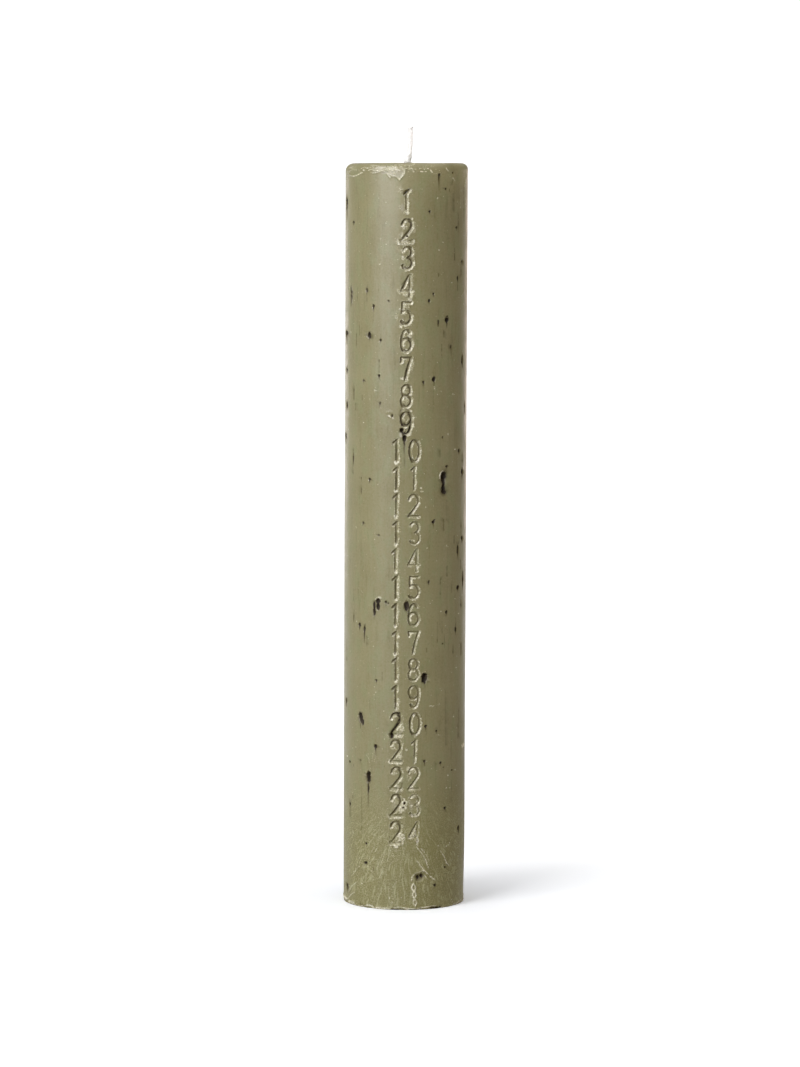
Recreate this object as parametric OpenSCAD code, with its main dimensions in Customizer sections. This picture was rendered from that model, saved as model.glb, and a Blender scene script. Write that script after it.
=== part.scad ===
// Calendar candle: a tall round pillar of wax with the days 1 to 24 pressed into its front in
// one column, so that it burns down past one number a day. A flat braided wick runs down its
// middle, and a metal sustainer in the base holds the wick's lower end.
// Sizes are millimetres. The pillar stands on z = 0 with its axis on Z, and the numbers face -Y.

/* [Pillar] */
// Diameter of the wax
pillar_d = 49; // [40:0.5:70]
// Height of the wax, from its foot to its top face
pillar_h = 300; // [260:1:360]
// Radius that the top rim is rounded to
rim_r = 3.2; // [0.8:0.1:6]
// Radius that the foot's edge is rounded to
foot_r = 0.8; // [0.3:0.1:2]
// Height that the wax climbs up the wick
meniscus_h = 0.6; // [0.4:0.1:2]
// Width of that climb, out from the wick
meniscus_w = 1.4; // [0.6:0.1:4]

/* [Numbers] */
// Last day that the column counts
days = 24; // [20:1:28]
// Distance from the top face down to the middle of the first number
first_drop = 14.95; // [11:0.05:20]
// Extra wax between the first number and the second, past the rows' own pitch
first_extra = 1.05; // [0:0.05:3]
// Distance from the foot up to the middle of the last number
last_rise = 31.25; // [20:0.05:45]
// Bare wax left between one number and the next
row_gap = 0.9; // [0.4:0.1:1.6]
// Width of one figure, outside its grooves
figure_w = 5.6; // [5:0.1:6.4]
// Distance round the wax between the middles of a number's two figures
figure_pitch = 7; // [6.6:0.1:10]
// Distance round the wax that the column has drifted to the right at its last number
column_drift = 0.9; // [0:0.1:3]
// Width of a pressed groove
groove_w = 1.5; // [0.8:0.05:1.6]
// Depth of a pressed groove
groove_depth = 0.9; // [0.4:0.05:1.6]

/* [Wick] */
// How far the wick lies to +X of the pillar's axis
wick_off = 0.9; // [0:0.1:3]
// Length of wick that stands out of the top face
stub_h = 15; // [8:0.5:25]
// How far the stub's tip leans to +X
stub_lean = 1.1; // [0:0.1:4]
// Diameter of one strand of the braid
strand_d = 0.7; // [0.5:0.05:1]
// Length in which the braid repeats
braid_pitch = 8; // [7:0.5:14]
// Length of braid modelled below the top face, where the strands then run on straight
braid_in = 4; // [2:0.5:20]
// Clearance round the wick in the wax and in the sustainer
wick_clearance = 0.1; // [0.05:0.05:0.4]

/* [Sustainer] */
// Diameter of the metal disc
sustainer_d = 20; // [12:0.5:32]
// Thickness of its sheet metal
sheet = 0.3; // [0.2:0.05:0.6]
// Height of the crimped neck, from the disc's underside
neck_h = 6; // [4:0.5:12]
// Depth of the crimp round the neck
crimp = 0.12; // [0.05:0.01:0.15]
// Height of the disc's underside above the surface that the pillar stands on
sustainer_rise = 0.4; // [0.2:0.1:2]
// Clearance between the sustainer and the wax that is cast round it
seat_clearance = 0.05; // [0.02:0.01:0.3]

/* [Hidden] */

wax = "#938e6a";
cotton = "#e9e4d6";
tin = "#b9bcc0";

// A full revolve of the pillar, and the smaller one of what lies round the wick
pillar_fn = 180;
wick_fn = 72;
// Degrees between the points of an arc, in the figures and in the pillar's profile
figure_step = 20;
profile_step = 15;
// Rings of a braided strand in one pitch, and the sides of each ring
rings_per_pitch = 16;
strand_sides = 8;
// Half the braid's width and thickness between strand middles, in strand diameters
plait_x = 1.15;
plait_y = 0.67;
// Share of the stub's height in which it bends over
bend_share = 0.7;

pillar_r = pillar_d / 2;
strand_r = strand_d / 2;
// The wick's hole, the neck round the wick and the pocket that each leaves in the wax
bore_r = plait_x * strand_d + strand_r + wick_clearance;
neck_r = bore_r + sheet;
neck_pocket_r = neck_r + seat_clearance;
neck_top = sustainer_rise + neck_h;
neck_pocket_top = neck_top + seat_clearance;
disc_top = sustainer_rise + sheet;
disc_pocket_r = sustainer_d / 2 + seat_clearance;
disc_pocket_top = disc_top + seat_clearance;

// The rows share the height between the first number and the last
row_pitch = (pillar_h - first_drop - first_extra - last_rise) / (days - 1);
// The figures' grooves are drawn along their middle lines, in a box of this size
line_w = figure_w - groove_w;
line_h = row_pitch - row_gap - groove_w;
// Turn about Z for a distance round the wax
function turn(distance) = distance / pillar_r * 180 / PI;

// Points along an ellipse's arc, from angle a to angle b
function arc(centre, rx, ry, a, b, step) =
    let (n = ceil(abs(b - a) / step))
    [for (i = [0 : n]) let (t = a + (b - a) * i / n) centre + [rx * cos(t), ry * sin(t)]];

// Middle lines of the ten figures, in a box one unit wide and high round the origin
function curve(x, y, rx, ry, a, b) = arc([x, y], rx, ry, a, b, figure_step);
upper_bowl = curve(0, 0.25, 0.42, 0.25, 360, 0);
lower_bowl = curve(0, -0.235, 0.48, 0.265, 360, 0);
FIGURES = [
    [curve(0, 0, 0.48, 0.5, 360, 0)],
    [[[-0.28, 0.38], [0.04, 0.5]], [[0.04, 0.5], [0.04, -0.5]]],
    [concat(curve(-0.01, 0.21, 0.46, 0.29, 165, -35), [[-0.48, -0.5]]), [[-0.48, -0.5], [0.5, -0.5]]],
    [curve(-0.02, 0.25, 0.42, 0.25, 150, -75), curve(0, -0.235, 0.48, 0.265, 80, -150)],
    [[[0.2, 0.5], [-0.5, -0.24]], [[-0.5, -0.24], [0.5, -0.24]], [[0.2, 0.5], [0.2, -0.5]]],
    [[[-0.34, 0.5], [0.44, 0.5]], [[-0.34, 0.5], [-0.38, 0.06]], curve(-0.04, -0.19, 0.5, 0.31, 130, -145)],
    [curve(0, -0.2, 0.48, 0.3, 360, 0), curve(0.02, -0.1, 0.5, 0.6, 50, 180)],
    [[[-0.46, 0.34], [-0.48, 0.5]], [[-0.48, 0.5], [0.46, 0.5]], [[0.46, 0.5], [0.06, -0.12], [-0.1, -0.5]]],
    [upper_bowl, lower_bowl],
    [curve(0, 0.2, 0.48, 0.3, 360, 0), curve(-0.02, 0.1, 0.5, 0.6, -130, 0)]
];

function unit(v) = v / norm(v);
function left_of(v) = [-v[1], v[0]];
function is_loop(line) = norm(line[0] - line[len(line) - 1]) < groove_w / 100;
// Direction of a line at its point i, from the points before and after it
function heading(line, i) =
    let (last = len(line) - 1, loop = is_loop(line))
    unit(line[i < last ? i + 1 : loop ? 1 : last] - line[i > 0 ? i - 1 : loop ? last - 1 : 0]);
// A line moved sideways by a distance, to its left where that is positive
function beside(line, distance) =
    [for (i = [0 : len(line) - 1]) line[i] + distance * left_of(heading(line, i))];
// Half a circle round a line's end, from its left side to its right
function cap(end, out) = arc([0, 0], groove_w / 2, groove_w / 2, 90, -90, 180 / 5)
    * [[out[0], out[1]], left_of(out)] + [for (i = [0 : 5]) end];
function reversed(list) = [for (i = [len(list) - 1 : -1 : 0]) list[i]];

// Flat shape of one groove: a ring round a closed line, or a bar with round ends along an open one
module groove_outline(line) {
    last = len(line) - 1;
    if (is_loop(line))
        difference() {
            polygon([for (i = [1 : last]) beside(line, groove_w / 2)[i]]);
            polygon([for (i = [1 : last]) beside(line, -groove_w / 2)[i]]);
        }
    else
        polygon(concat(
            beside(line, groove_w / 2),
            cap(line[last], heading(line, last)),
            reversed(beside(line, -groove_w / 2)),
            cap(line[0], -heading(line, 0))
        ));
}

// Cutter for one figure, out past the wax, with its floor at the groove's depth
module figure_cutter(figure, along, z) {
    rotate([0, 0, turn(along)])
        translate([0, groove_depth - pillar_r, z])
            rotate([90, 0, 0])
                linear_extrude(height = 2 * groove_depth)
                    for (line = FIGURES[figure])
                        groove_outline([for (p = line) [p[0] * line_w, p[1] * line_h]]);
}

// Cutters for one day's number, of one figure or two
module number_cutter(day) {
    z = pillar_h - first_drop - (day > 1 ? first_extra : 0) - (day - 1) * row_pitch;
    drift = column_drift * pow((day - 1) / (days - 1), 1.5);
    if (day < 10)
        figure_cutter(day, drift, z);
    else {
        figure_cutter(floor(day / 10), drift - figure_pitch / 2, z);
        figure_cutter(day % 10, drift + figure_pitch / 2, z);
    }
}

// Half sections, each revolved round its own axis: the pillar with its round rim and foot, the
// wax that climbs the wick, and the hole that the wick and its sustainer leave
pillar_section = concat(
    [[0, 0]],
    arc([pillar_r - foot_r, foot_r], foot_r, foot_r, -90, 0, profile_step),
    arc([pillar_r - rim_r, pillar_h - rim_r], rim_r, rim_r, 0, 90, profile_step),
    [[0, pillar_h]]
);
meniscus_section = concat(
    [[0, pillar_h - meniscus_h], [bore_r + meniscus_w, pillar_h - meniscus_h]],
    arc([bore_r + meniscus_w, pillar_h + meniscus_h], meniscus_w, meniscus_h, -90, -165, profile_step),
    [[0, pillar_h + meniscus_h - meniscus_h * sin(15)]]
);
hole_section = [
    [0, -1], [disc_pocket_r, -1], [disc_pocket_r, disc_pocket_top],
    [neck_pocket_r, disc_pocket_top], [neck_pocket_r, neck_pocket_top],
    [bore_r, neck_pocket_top], [bore_r, pillar_h + 2 * meniscus_h], [0, pillar_h + 2 * meniscus_h]
];

module wax_pillar() {
    color(wax)
        difference() {
            union() {
                rotate_extrude($fn = pillar_fn) polygon(pillar_section);
                translate([wick_off, 0, 0]) rotate_extrude($fn = wick_fn) polygon(meniscus_section);
            }
            translate([wick_off, 0, 0]) rotate_extrude($fn = wick_fn) polygon(hole_section);
            for (day = [1 : days]) number_cutter(day);
        }
}

// Place of a strand's middle at height z: a plait above the braid's start and straight below it.
// The three strands run a third of a turn apart, and each crosses over and under the others.
// Above the wax that climbs it, the stub bends over to its lean and then stands upright.
function strand_point(strand, z) =
    let (
        braid_start = pillar_h - braid_in,
        t = 90 + 120 * strand + 360 * max(0, z - braid_start) / braid_pitch,
        out = max(0, z - pillar_h - meniscus_h) / (stub_h - meniscus_h),
        lean = stub_lean * sin(90 * min(1, out / bend_share))
    )
    [wick_off + lean + plait_x * strand_d * sin(t), plait_y * strand_d * sin(2 * t), z];

function strand_path(strand) =
    let (
        braid_start = pillar_h - braid_in,
        top = pillar_h + stub_h,
        rings = ceil((top - braid_start) / braid_pitch * rings_per_pitch)
    )
    concat(
        [strand_point(strand, sustainer_rise)],
        [for (i = [0 : rings]) strand_point(strand, braid_start + (top - braid_start) * i / rings)]
    );

// Ring of points round a path's point i, square to the path there, and level at its two ends
function ring(path, i) =
    let (
        last = len(path) - 1,
        along = i == 0 || i == last ? [0, 0, 1] : unit(path[i + 1] - path[i - 1]),
        side = unit(cross([0, 1, 0], along)),
        front = cross(along, side)
    )
    [for (k = [0 : strand_sides - 1])
        let (t = 360 * k / strand_sides) path[i] + strand_r * (cos(t) * side + sin(t) * front)];

module strand(number) {
    path = strand_path(number);
    last = len(path) - 1;
    n = strand_sides;
    color(cotton)
        polyhedron(
            points = [for (i = [0 : last]) each ring(path, i)],
            faces = concat(
                [[for (k = [0 : n - 1]) k]],
                [for (i = [0 : last - 1], k = [0 : n - 1])
                    [i * n + k, (i + 1) * n + k, (i + 1) * n + (k + 1) % n]],
                [for (i = [0 : last - 1], k = [0 : n - 1])
                    [i * n + k, (i + 1) * n + (k + 1) % n, i * n + (k + 1) % n]],
                [[for (k = [n - 1 : -1 : 0]) last * n + k]]
            )
        );
}

module wick_strand_1() { strand(0); }
module wick_strand_2() { strand(1); }
module wick_strand_3() { strand(2); }

// Disc and neck pressed from one sheet, with the neck crimped round the wick at mid-height
module wick_sustainer() {
    crimp_z = (disc_top + neck_top) / 2;
    crimp_half = neck_h / 8;
    section = [
        [bore_r, sustainer_rise],
        [sustainer_d / 2, sustainer_rise],
        [sustainer_d / 2, disc_top],
        [neck_r, disc_top],
        [neck_r, crimp_z - 2 * crimp_half],
        [neck_r - crimp, crimp_z - crimp_half],
        [neck_r - crimp, crimp_z + crimp_half],
        [neck_r, crimp_z + 2 * crimp_half],
        [neck_r, neck_top],
        [bore_r, neck_top]
    ];
    color(tin) translate([wick_off, 0, 0]) rotate_extrude($fn = wick_fn) polygon(section);
}

wax_pillar();
wick_strand_1();
wick_strand_2();
wick_strand_3();
wick_sustainer();
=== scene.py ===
"""Looks of a calendar candle: a pillar of olive wax with the days 1 to 24 pressed into its front,
a braided cotton wick and a tinned sustainer, on a white studio floor.

Sizes are in millimetres and become metres where a mesh is made. Round the wax, along is the
distance from the front, positive to the right, and z is the height above the floor."""

import itertools
import math

import bpy
import numpy as np
from mathutils import Matrix, Vector


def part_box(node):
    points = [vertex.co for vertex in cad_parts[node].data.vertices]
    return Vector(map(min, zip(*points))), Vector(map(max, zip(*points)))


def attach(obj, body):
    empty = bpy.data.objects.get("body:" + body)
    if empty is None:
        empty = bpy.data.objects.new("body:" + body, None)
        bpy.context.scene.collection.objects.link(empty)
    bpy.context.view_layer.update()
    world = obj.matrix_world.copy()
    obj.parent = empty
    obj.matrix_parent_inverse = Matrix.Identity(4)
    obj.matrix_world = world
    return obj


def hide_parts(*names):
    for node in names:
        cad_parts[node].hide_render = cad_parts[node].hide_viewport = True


MM = 0.001

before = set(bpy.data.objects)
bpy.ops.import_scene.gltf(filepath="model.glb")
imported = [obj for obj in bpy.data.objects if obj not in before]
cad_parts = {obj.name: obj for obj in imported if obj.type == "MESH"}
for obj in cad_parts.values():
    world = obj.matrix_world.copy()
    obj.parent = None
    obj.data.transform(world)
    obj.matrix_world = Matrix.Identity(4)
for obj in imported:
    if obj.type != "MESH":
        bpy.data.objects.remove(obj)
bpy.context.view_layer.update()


# Sizes from the frame

def node_box(name):
    """A CAD node's lowest and highest corner, in millimetres."""
    low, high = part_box(name)
    return np.array(low) / MM, np.array(high) / MM


wax_low, wax_high = node_box("wax_pillar")
tin_low, tin_high = node_box("wick_sustainer")
strand_boxes = [node_box(f"wick_strand_{number}") for number in (1, 2, 3)]

RADIUS = (wax_high[0] - wax_low[0]) / 2
ROUND = 2 * math.pi * RADIUS
WICK_X = (tin_low[0] + tin_high[0]) / 2
WICK_TOP = max(high[2] for low, high in strand_boxes)
WICK_FOOT = min(low[2] for low, high in strand_boxes)

# Sizes that part.scad names too
HEIGHT = 300
RIM_R = 3.2
MENISCUS_H = wax_high[2] - HEIGHT
MENISCUS_W = 1.4
BORE_R = 1.26
SEAT = 0.05
SHEET = 0.3
FIRST_DROP = 14.95
FIRST_EXTRA = 1.05
LAST_RISE = 31.25
ROW_GAP = 0.9
FIGURE_W = 5.6
FIGURE_PITCH = 7.0
GROOVE_W = 1.5
DRIFT = 0.9
DAYS = 24

ROW_PITCH = (HEIGHT - FIRST_DROP - FIRST_EXTRA - LAST_RISE) / (DAYS - 1)
LINE_W = FIGURE_W - GROOVE_W
LINE_H = ROW_PITCH - ROW_GAP - GROOVE_W

# The photograph's frame and its camera: the lens is FOCAL pixels long, and the angles are in degrees
PHOTO_W, PHOTO_H = 800, 1067
FOCAL = 3828.6
PIXELS_PER_MM = 2.49
CAMERA_DISTANCE = 1551.1
CAMERA_HEIGHT = 281.6
CAMERA_DOWN = 3.571
CAMERA_ASIDE = 0.079
CAMERA_ROLL = 0.217
CAMERA_SHIFT = -0.08


def camera_turn():
    """The camera's turn: level and facing the candle's front, then rolled, lowered and turned."""
    lean = Matrix.Rotation(math.radians(CAMERA_ROLL), 3, "Z")
    down = Matrix.Rotation(math.radians(90 - CAMERA_DOWN), 3, "X")
    aside = Matrix.Rotation(math.radians(CAMERA_ASIDE), 3, "Z")
    return aside @ down @ lean


def on_wax(x, y):
    """Distance round the wax and height of the point that the photograph shows at pixel x, y."""
    ray = camera_turn() @ Vector((x - PHOTO_W / 2, PHOTO_H / 2 - y + CAMERA_SHIFT * PHOTO_H, -FOCAL))
    near = ray.x**2 + ray.y**2
    toward = CAMERA_DISTANCE * ray.y / near
    reach = toward - math.sqrt(max(0, toward**2 - (CAMERA_DISTANCE**2 - RADIUS**2) / near))
    turn = math.atan2(reach * ray.x, CAMERA_DISTANCE - reach * ray.y)
    return RADIUS * turn, CAMERA_HEIGHT + reach * ray.z


# Objects

def add_object(name, data):
    """A new object in the scene, with its data."""
    made = bpy.data.objects.new(name, data)
    bpy.context.collection.objects.link(made)
    return made


def mesh_object(name, points, faces):
    """A smooth object from points in millimetres and faces."""
    mesh = bpy.data.meshes.new(name)
    mesh.from_pydata((points * MM).tolist(), [], faces)
    mesh.polygons.foreach_set("use_smooth", np.ones(len(mesh.polygons), bool))
    mesh.update()
    return add_object(name, mesh)


# Noise and curves

def lattice_value(cell, seed):
    """A number from -1 to 1 for each row of whole numbers, the same on every run."""
    primes = np.array([73856093, 19349663, 83492791], dtype=np.uint64)
    mixed = np.full(len(cell), np.uint64(seed * 2654435761 % 2**32), dtype=np.uint64)
    for column, prime in zip(cell.T, primes):
        mixed ^= (column.astype(np.int64).astype(np.uint64) * prime) & np.uint64(0xFFFFFFFF)
        mixed = (mixed * np.uint64(1274126177)) & np.uint64(0xFFFFFFFF)
        mixed ^= mixed >> np.uint64(15)
    return mixed.astype(float) / 2**31 - 1


def noise(points, size, seed, octaves=1):
    """Smooth noise from -1 to 1 at points of two or three coordinates, with features of a size."""
    total, reach, share = 0.0, 0.0, 1.0
    for octave in range(octaves):
        scaled = np.asarray(points, float) * 2**octave / np.asarray(size, float)
        cell = np.floor(scaled)
        part = scaled - cell
        part = part * part * (3 - 2 * part)
        value = 0.0
        for corner in itertools.product((0, 1), repeat=scaled.shape[1]):
            weight = np.prod(np.where(corner, part, 1 - part), axis=1)
            value = value + weight * lattice_value(cell + corner, seed + 17 * octave)
        total, reach, share = total + share * value, reach + share, share / 2
    return total / reach


def smooth(low, high, x):
    """0 below low and 1 above high, with a smooth step between."""
    t = np.clip((x - low) / (high - low), 0, 1)
    return t * t * (3 - 2 * t)


def bell(x, half):
    """1 at 0, and falling off to both sides over half a width."""
    return np.exp(-((x / half) ** 2))


def lift(field, near, values):
    """Raises a field's values at some points to these, where they are higher."""
    field[near] = np.maximum(field[near], values)


# Figures

def arc(x, y, rx, ry, start, end):
    """Points on an ellipse's arc, from angle start to angle end in degrees."""
    count = math.ceil(abs(end - start) / 15)
    turns = np.radians(np.linspace(start, end, count + 1))
    return [(x + rx * math.cos(t), y + ry * math.sin(t)) for t in turns]


# Middle lines of the figures' grooves, in a box one unit wide and high round the origin
FIGURES = [
    [arc(0, 0, 0.48, 0.5, 360, 0)],
    [[(-0.26, 0.37), (0.06, 0.5)], [(-0.16, 0.39), (0.04, 0.44)], [(0.02, 0.5), (0.02, -0.5)]],
    [arc(-0.01, 0.21, 0.46, 0.29, 165, -35) + [(-0.48, -0.5)], [(-0.48, -0.5), (0.5, -0.5)]],
    [arc(-0.02, 0.25, 0.42, 0.25, 150, -75), arc(0, -0.235, 0.48, 0.265, 80, -150)],
    [[(0.26, 0.5), (-0.52, -0.23)], [(-0.52, -0.23), (0.5, -0.23)], [(0.3, 0.5), (0.3, -0.5)]],
    [
        [(-0.34, 0.5), (0.44, 0.5)],
        [(-0.34, 0.5), (-0.38, 0.06)],
        arc(-0.04, -0.19, 0.5, 0.31, 130, -145),
    ],
    [arc(0, -0.2, 0.48, 0.3, 360, 0), arc(0.02, -0.1, 0.5, 0.6, 50, 180)],
    [
        [(-0.46, 0.34), (-0.48, 0.5)],
        [(-0.48, 0.5), (0.46, 0.5)],
        [(0.46, 0.5), (0.06, -0.12), (-0.1, -0.5)],
    ],
    [arc(0, 0.25, 0.42, 0.25, 360, 0), arc(0, -0.235, 0.48, 0.265, 360, 0)],
    [arc(0, 0.2, 0.48, 0.3, 360, 0), arc(-0.02, 0.1, 0.5, 0.6, -130, 0)],
    [[(-0.2, 0.28), (0.24, 0.46)], [(-0.04, 0.32), (0.24, 0.42)], [(0.0, 0.42), (0.0, -0.42)]],
]
# The first day's own figure in that list, whose flag is short and thick
FIRST_FIGURE = 10
# Painted shade, a dark wedge under the flag of a '1': its line in the same box, half its width and how dark
# it is
FLAG_WEDGE = [(-0.27, 0.375), (-0.07, 0.425)]
FLAG_R, FLAG_DARK = 0.4, 0.4


# How deep each figure was pressed, from 0 to 1: the days 1 to 9, then the tens and the units from 10
PRESS_SINGLE = (0.8, 0.9, 0.85, 0.9, 0.8, 0.85, 0.9, 0.85, 1.0)
PRESS_TENS = (0.82,) * 10 + (1.0, 0.85, 0.85, 0.85, 0.85)
PRESS_UNITS = (0.7, 0.55, 0.6, 0.5, 0.5, 0.62, 0.65, 0.6, 0.55, 0.6, 0.7, 0.55, 0.55, 0.35, 0.5)
# How far the figures lie to the right of their places in part.scad: the days 1 to 9, then the tens and
# the units from 10. UPWARD is how far all of them lie above those places
ASIDE_SINGLE = (0, 0.3, 0.35, 0.3, 0, 0, 0, 0, 0)
ASIDE_TENS = (-0.3,) * 4 + (-0.7,) * 6 + (-0.55,) * 5
ASIDE_UNITS = (0, -0.1, -0.4, -0.1) + (-0.35,) * 6 + (0, 0, -0.4, -0.1, -0.2)
UPWARD = 0.2


def pressed_figures():
    """One row for each pressed figure: the figure, its place round the wax, its height, how deep
    the punch went, from 0 to 1, and whether it is one of the units, which lean."""
    rows = []
    for day in range(1, DAYS + 1):
        z = HEIGHT - FIRST_DROP - (FIRST_EXTRA if day > 1 else 0) - (day - 1) * ROW_PITCH + UPWARD
        drift = DRIFT * ((day - 1) / (DAYS - 1)) ** 1.5
        if day < 10:
            figure = FIRST_FIGURE if day == 1 else day
            rows.append((figure, drift + ASIDE_SINGLE[day - 1], z, PRESS_SINGLE[day - 1], False))
            continue
        left, right = drift - FIGURE_PITCH / 2, drift + FIGURE_PITCH / 2
        rows.append((day // 10, left + ASIDE_TENS[day - 10], z, PRESS_TENS[day - 10], False))
        rows.append((day % 10, right + ASIDE_UNITS[day - 10], z, PRESS_UNITS[day - 10], True))
    return rows


PRESSED = pressed_figures()


def from_lines(x, y, lines):
    """Offset of each point from the nearest of some lines of points, as its length and its two
    parts."""
    best = np.full(len(x), 1e9)
    part_x, part_y = np.zeros(len(x)), np.zeros(len(x))
    for line in lines:
        for (ax, ay), (bx, by) in zip(line, line[1:]):
            dx, dy = bx - ax, by - ay
            t = np.clip(((x - ax) * dx + (y - ay) * dy) / (dx * dx + dy * dy), 0, 1)
            off_x, off_y = x - ax - t * dx, y - ay - t * dy
            off = np.hypot(off_x, off_y)
            closer = off < best
            best = np.where(closer, off, best)
            part_x, part_y = np.where(closer, off_x, part_x), np.where(closer, off_y, part_y)
    return best, part_x, part_y


# Pits that the photograph shows in the wax, and one painted shade: pixel x and y of the middle, then
# half the width, half the height, the depth and the length of the tail below it, in millimetres
PITS_AND_SHADE = [
    (347.1, 203, 0.3, 2.4, 0.8, 5), (346.9, 333, 0.5, 1, 0.5, 4), (347.2, 369.5, 0.3, 0.6, 0.3, 1.5),
    (347.1, 405, 0.3, 1.5, 0.4, 1), (346, 436, 0.3, 1.6, 0.4, 1), (346.8, 700, 0.25, 1, 0.3, 2),
    (347.5, 886.2, 0.4, 1.5, 0.4, 1), (438.9, 174.5, 0.34, 0.5, 0.7, 5.5),
    (452.3, 172.8, 0.3, 0.4, 0.4, 0), (445.3, 188.8, 0.34, 0.42, 0.5, 0),
    (429.7, 211.4, 0.42, 0.36, 0.5, 1), (353.7, 222.2, 0.34, 0.45, 0.4, 1),
    (456, 227.3, 0.38, 0.5, 0.4, 1), (461.3, 261.3, 0.24, 0.6, 0.35, 1.5), (457, 278, 0.28, 0.9, 0.3, 1),
    (351.2, 294, 0.22, 3.4, 0.55, 2), (366.9, 290, 0.3, 1, 0.5, 1.5), (373.5, 306, 0.36, 0.6, 0.7, 2.5),
    (388.7, 300.7, 0.5, 0.24, 0.08, 0), (429, 300.7, 0.42, 0.6, 0.55, 1.6),
    (433.3, 293.7, 0.34, 0.36, 0.35, 1), (446.3, 320.2, 0.75, 1.15, 0.9, 2.4),
    (446.6, 316.2, 0.4, 0.3, 0.3, 0), (438.1, 321, 0.3, 0.55, 0.35, 2.5),
    (369.6, 335.2, 0.66, 1.25, 0.9, 1.6), (380.6, 340.2, 0.38, 0.45, 0.5, 1),
    (379, 375.6, 0.42, 0.5, 0.5, 1.5), (363.6, 380.4, 0.34, 0.42, 0.35, 1),
    (433.8, 379.2, 0.66, 1.1, 0.85, 2.4), (423.5, 382, 0.42, 0.44, 0.5, 1.8),
    (461.4, 359.5, 0.32, 1.9, 0.45, 1.5), (450.6, 347, 0.28, 1, 0.3, 3), (380, 402.5, 0.5, 0.5, 0.2, 2),
    (442.2, 436.8, 0.32, 0.34, 0.35, 0.8), (458.2, 450.5, 0.34, 0.8, 0.35, 1),
    (446.4, 466.1, 0.55, 0.34, 0.5, 1), (461.3, 471.5, 0.4, 1.3, 0.5, 2.5),
    (353.5, 456, 0.2, 1.5, 0.2, 3), (369.7, 479.3, 0.36, 0.5, 0.45, 1.2),
    (363.2, 522.6, 0.34, 0.5, 0.35, 1), (433, 521.8, 0.6, 0.55, 0.6, 2.4),
    (434.3, 519.8, 0.3, 0.3, 0.4, 0), (461.1, 538, 0.34, 1, 0.4, 1.5), (457, 550, 0.32, 2.3, 0.35, 1),
    (461.9, 578, 0.25, 3.2, 0.25, 2), (457, 587.3, 0.45, 0.85, 0.5, 1), (378.8, 535.2, 0.4, 0.45, 0.2, 0),
    (428.6, 582, 0.26, 0.75, 0.4, 1), (378.2, 601, 0.92, 1, 0.9, 0), (378.3, 606, 0.7, 1.6, 0.8, 2.2),
    (374.3, 605.5, 0.42, 1.6, 0.6, 0), (374.4, 611.5, 0.5, 1.8, 0.7, 2), (386, 601.8, 0.42, 0.5, 0.4, 2),
    (388.3, 603.3, 0.34, 0.5, 0.4, 0), (359.8, 624.8, 0.42, 1, 0.7, 1.6),
    (364.6, 629.2, 0.38, 1.1, 0.7, 5), (406.7, 605.6, 1, 1.8, 0.7, 1.5), (446, 612, 0.38, 0.7, 0.45, 1),
    (454.9, 629.3, 0.3, 1.1, 0.5, 1), (442.2, 643.7, 0.3, 0.4, 0.3, 0),
    (376.4, 680.2, 0.5, 0.38, 0.45, 1), (424.4, 678.6, 1.12, 2, 1.1, 3.2),
    (425.6, 674.8, 0.55, 0.6, 0.8, 0), (360.8, 717.2, 0.8, 2.1, 1.2, 3), (363, 722, 0.4, 1.2, 0.6, 0),
    (425.6, 726, 0.55, 0.55, 0.55, 1.5), (436.4, 730.8, 0.36, 0.4, 0.45, 1),
    (375.7, 746.3, 0.5, 0.85, 0.9, 4), (424.3, 761, 0.4, 0.55, 0.5, 1.8),
    (440.3, 762.7, 0.38, 0.45, 0.45, 1), (443.2, 767.2, 0.3, 0.3, 0.3, 0), (451.2, 770, 0.4, 0.3, 0.2, 0),
    (360.7, 760.4, 0.35, 0.5, 0.3, 1), (350, 761.7, 0.35, 0.5, 0.35, 0),
    (368.6, 777.2, 0.85, 2.5, 1.5, 0), (368.4, 788, 0.3, 2.6, 0.6, 5), (404.6, 803.2, 0.42, 0.5, 0.6, 0),
    (350.2, 803.6, 0.34, 0.6, 0.3, 1), (444.5, 807.8, 0.4, 0.65, 0.45, 1),
    (457.7, 827.6, 0.35, 1, 0.3, 2), (366.2, 843.6, 0.5, 0.5, 0.4, 0), (365.8, 862.8, 0.55, 0.52, 0.7, 0),
    (417.8, 877, 0.5, 0.58, 0.6, 0), (421.2, 875.7, 0.58, 0.5, 0.6, 0), (444.7, 867, 0.35, 0.4, 0.35, 0),
    (435, 885.3, 0.45, 0.65, 0.45, 0), (401.5, 430, 0.85, 0.8, 1.1, 0), (409.6, 428, 0.3, 0.9, 0.4, 0),
    (407.8, 432, 0.45, 0.35, 0.5, 0), (404.4, 438, 0.72, 1.15, 1.2, 11), (391.6, 735.5, 0.6, 1, 0.9, 0),
    # Painted shade: the row at 392.3, 415.6 is the dark below and right of the blister at 390, 414
    (392.3, 415.6, 0.4, 0.6, 0.3, 0), (403.2, 807.5, 0.3, 0.35, 0.4, 0), (402.6, 800, 0.25, 0.3, 0.3, 0),
    (407.4, 236.3, 0.36, 0.36, 0.6, 0),
]
# Pits scattered over the back, how much deeper pits are cut than their rows say, and the most that a
# mark is widened where the wax turns away
HIDDEN_PITS, DEEPER, WIDEST = 70, 1.3, 4.5


def widening(place):
    """How much wider a mark is than it looks, where the wax turns away from the camera."""
    return min(WIDEST, 1 / max(0.05, math.cos(place / RADIUS)))


def seen_widening(place):
    """The same where the photograph shows the wax, and 1 on the side that it doesn't show."""
    return widening(place) if abs(place) < ROUND / 4 else 1


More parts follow.
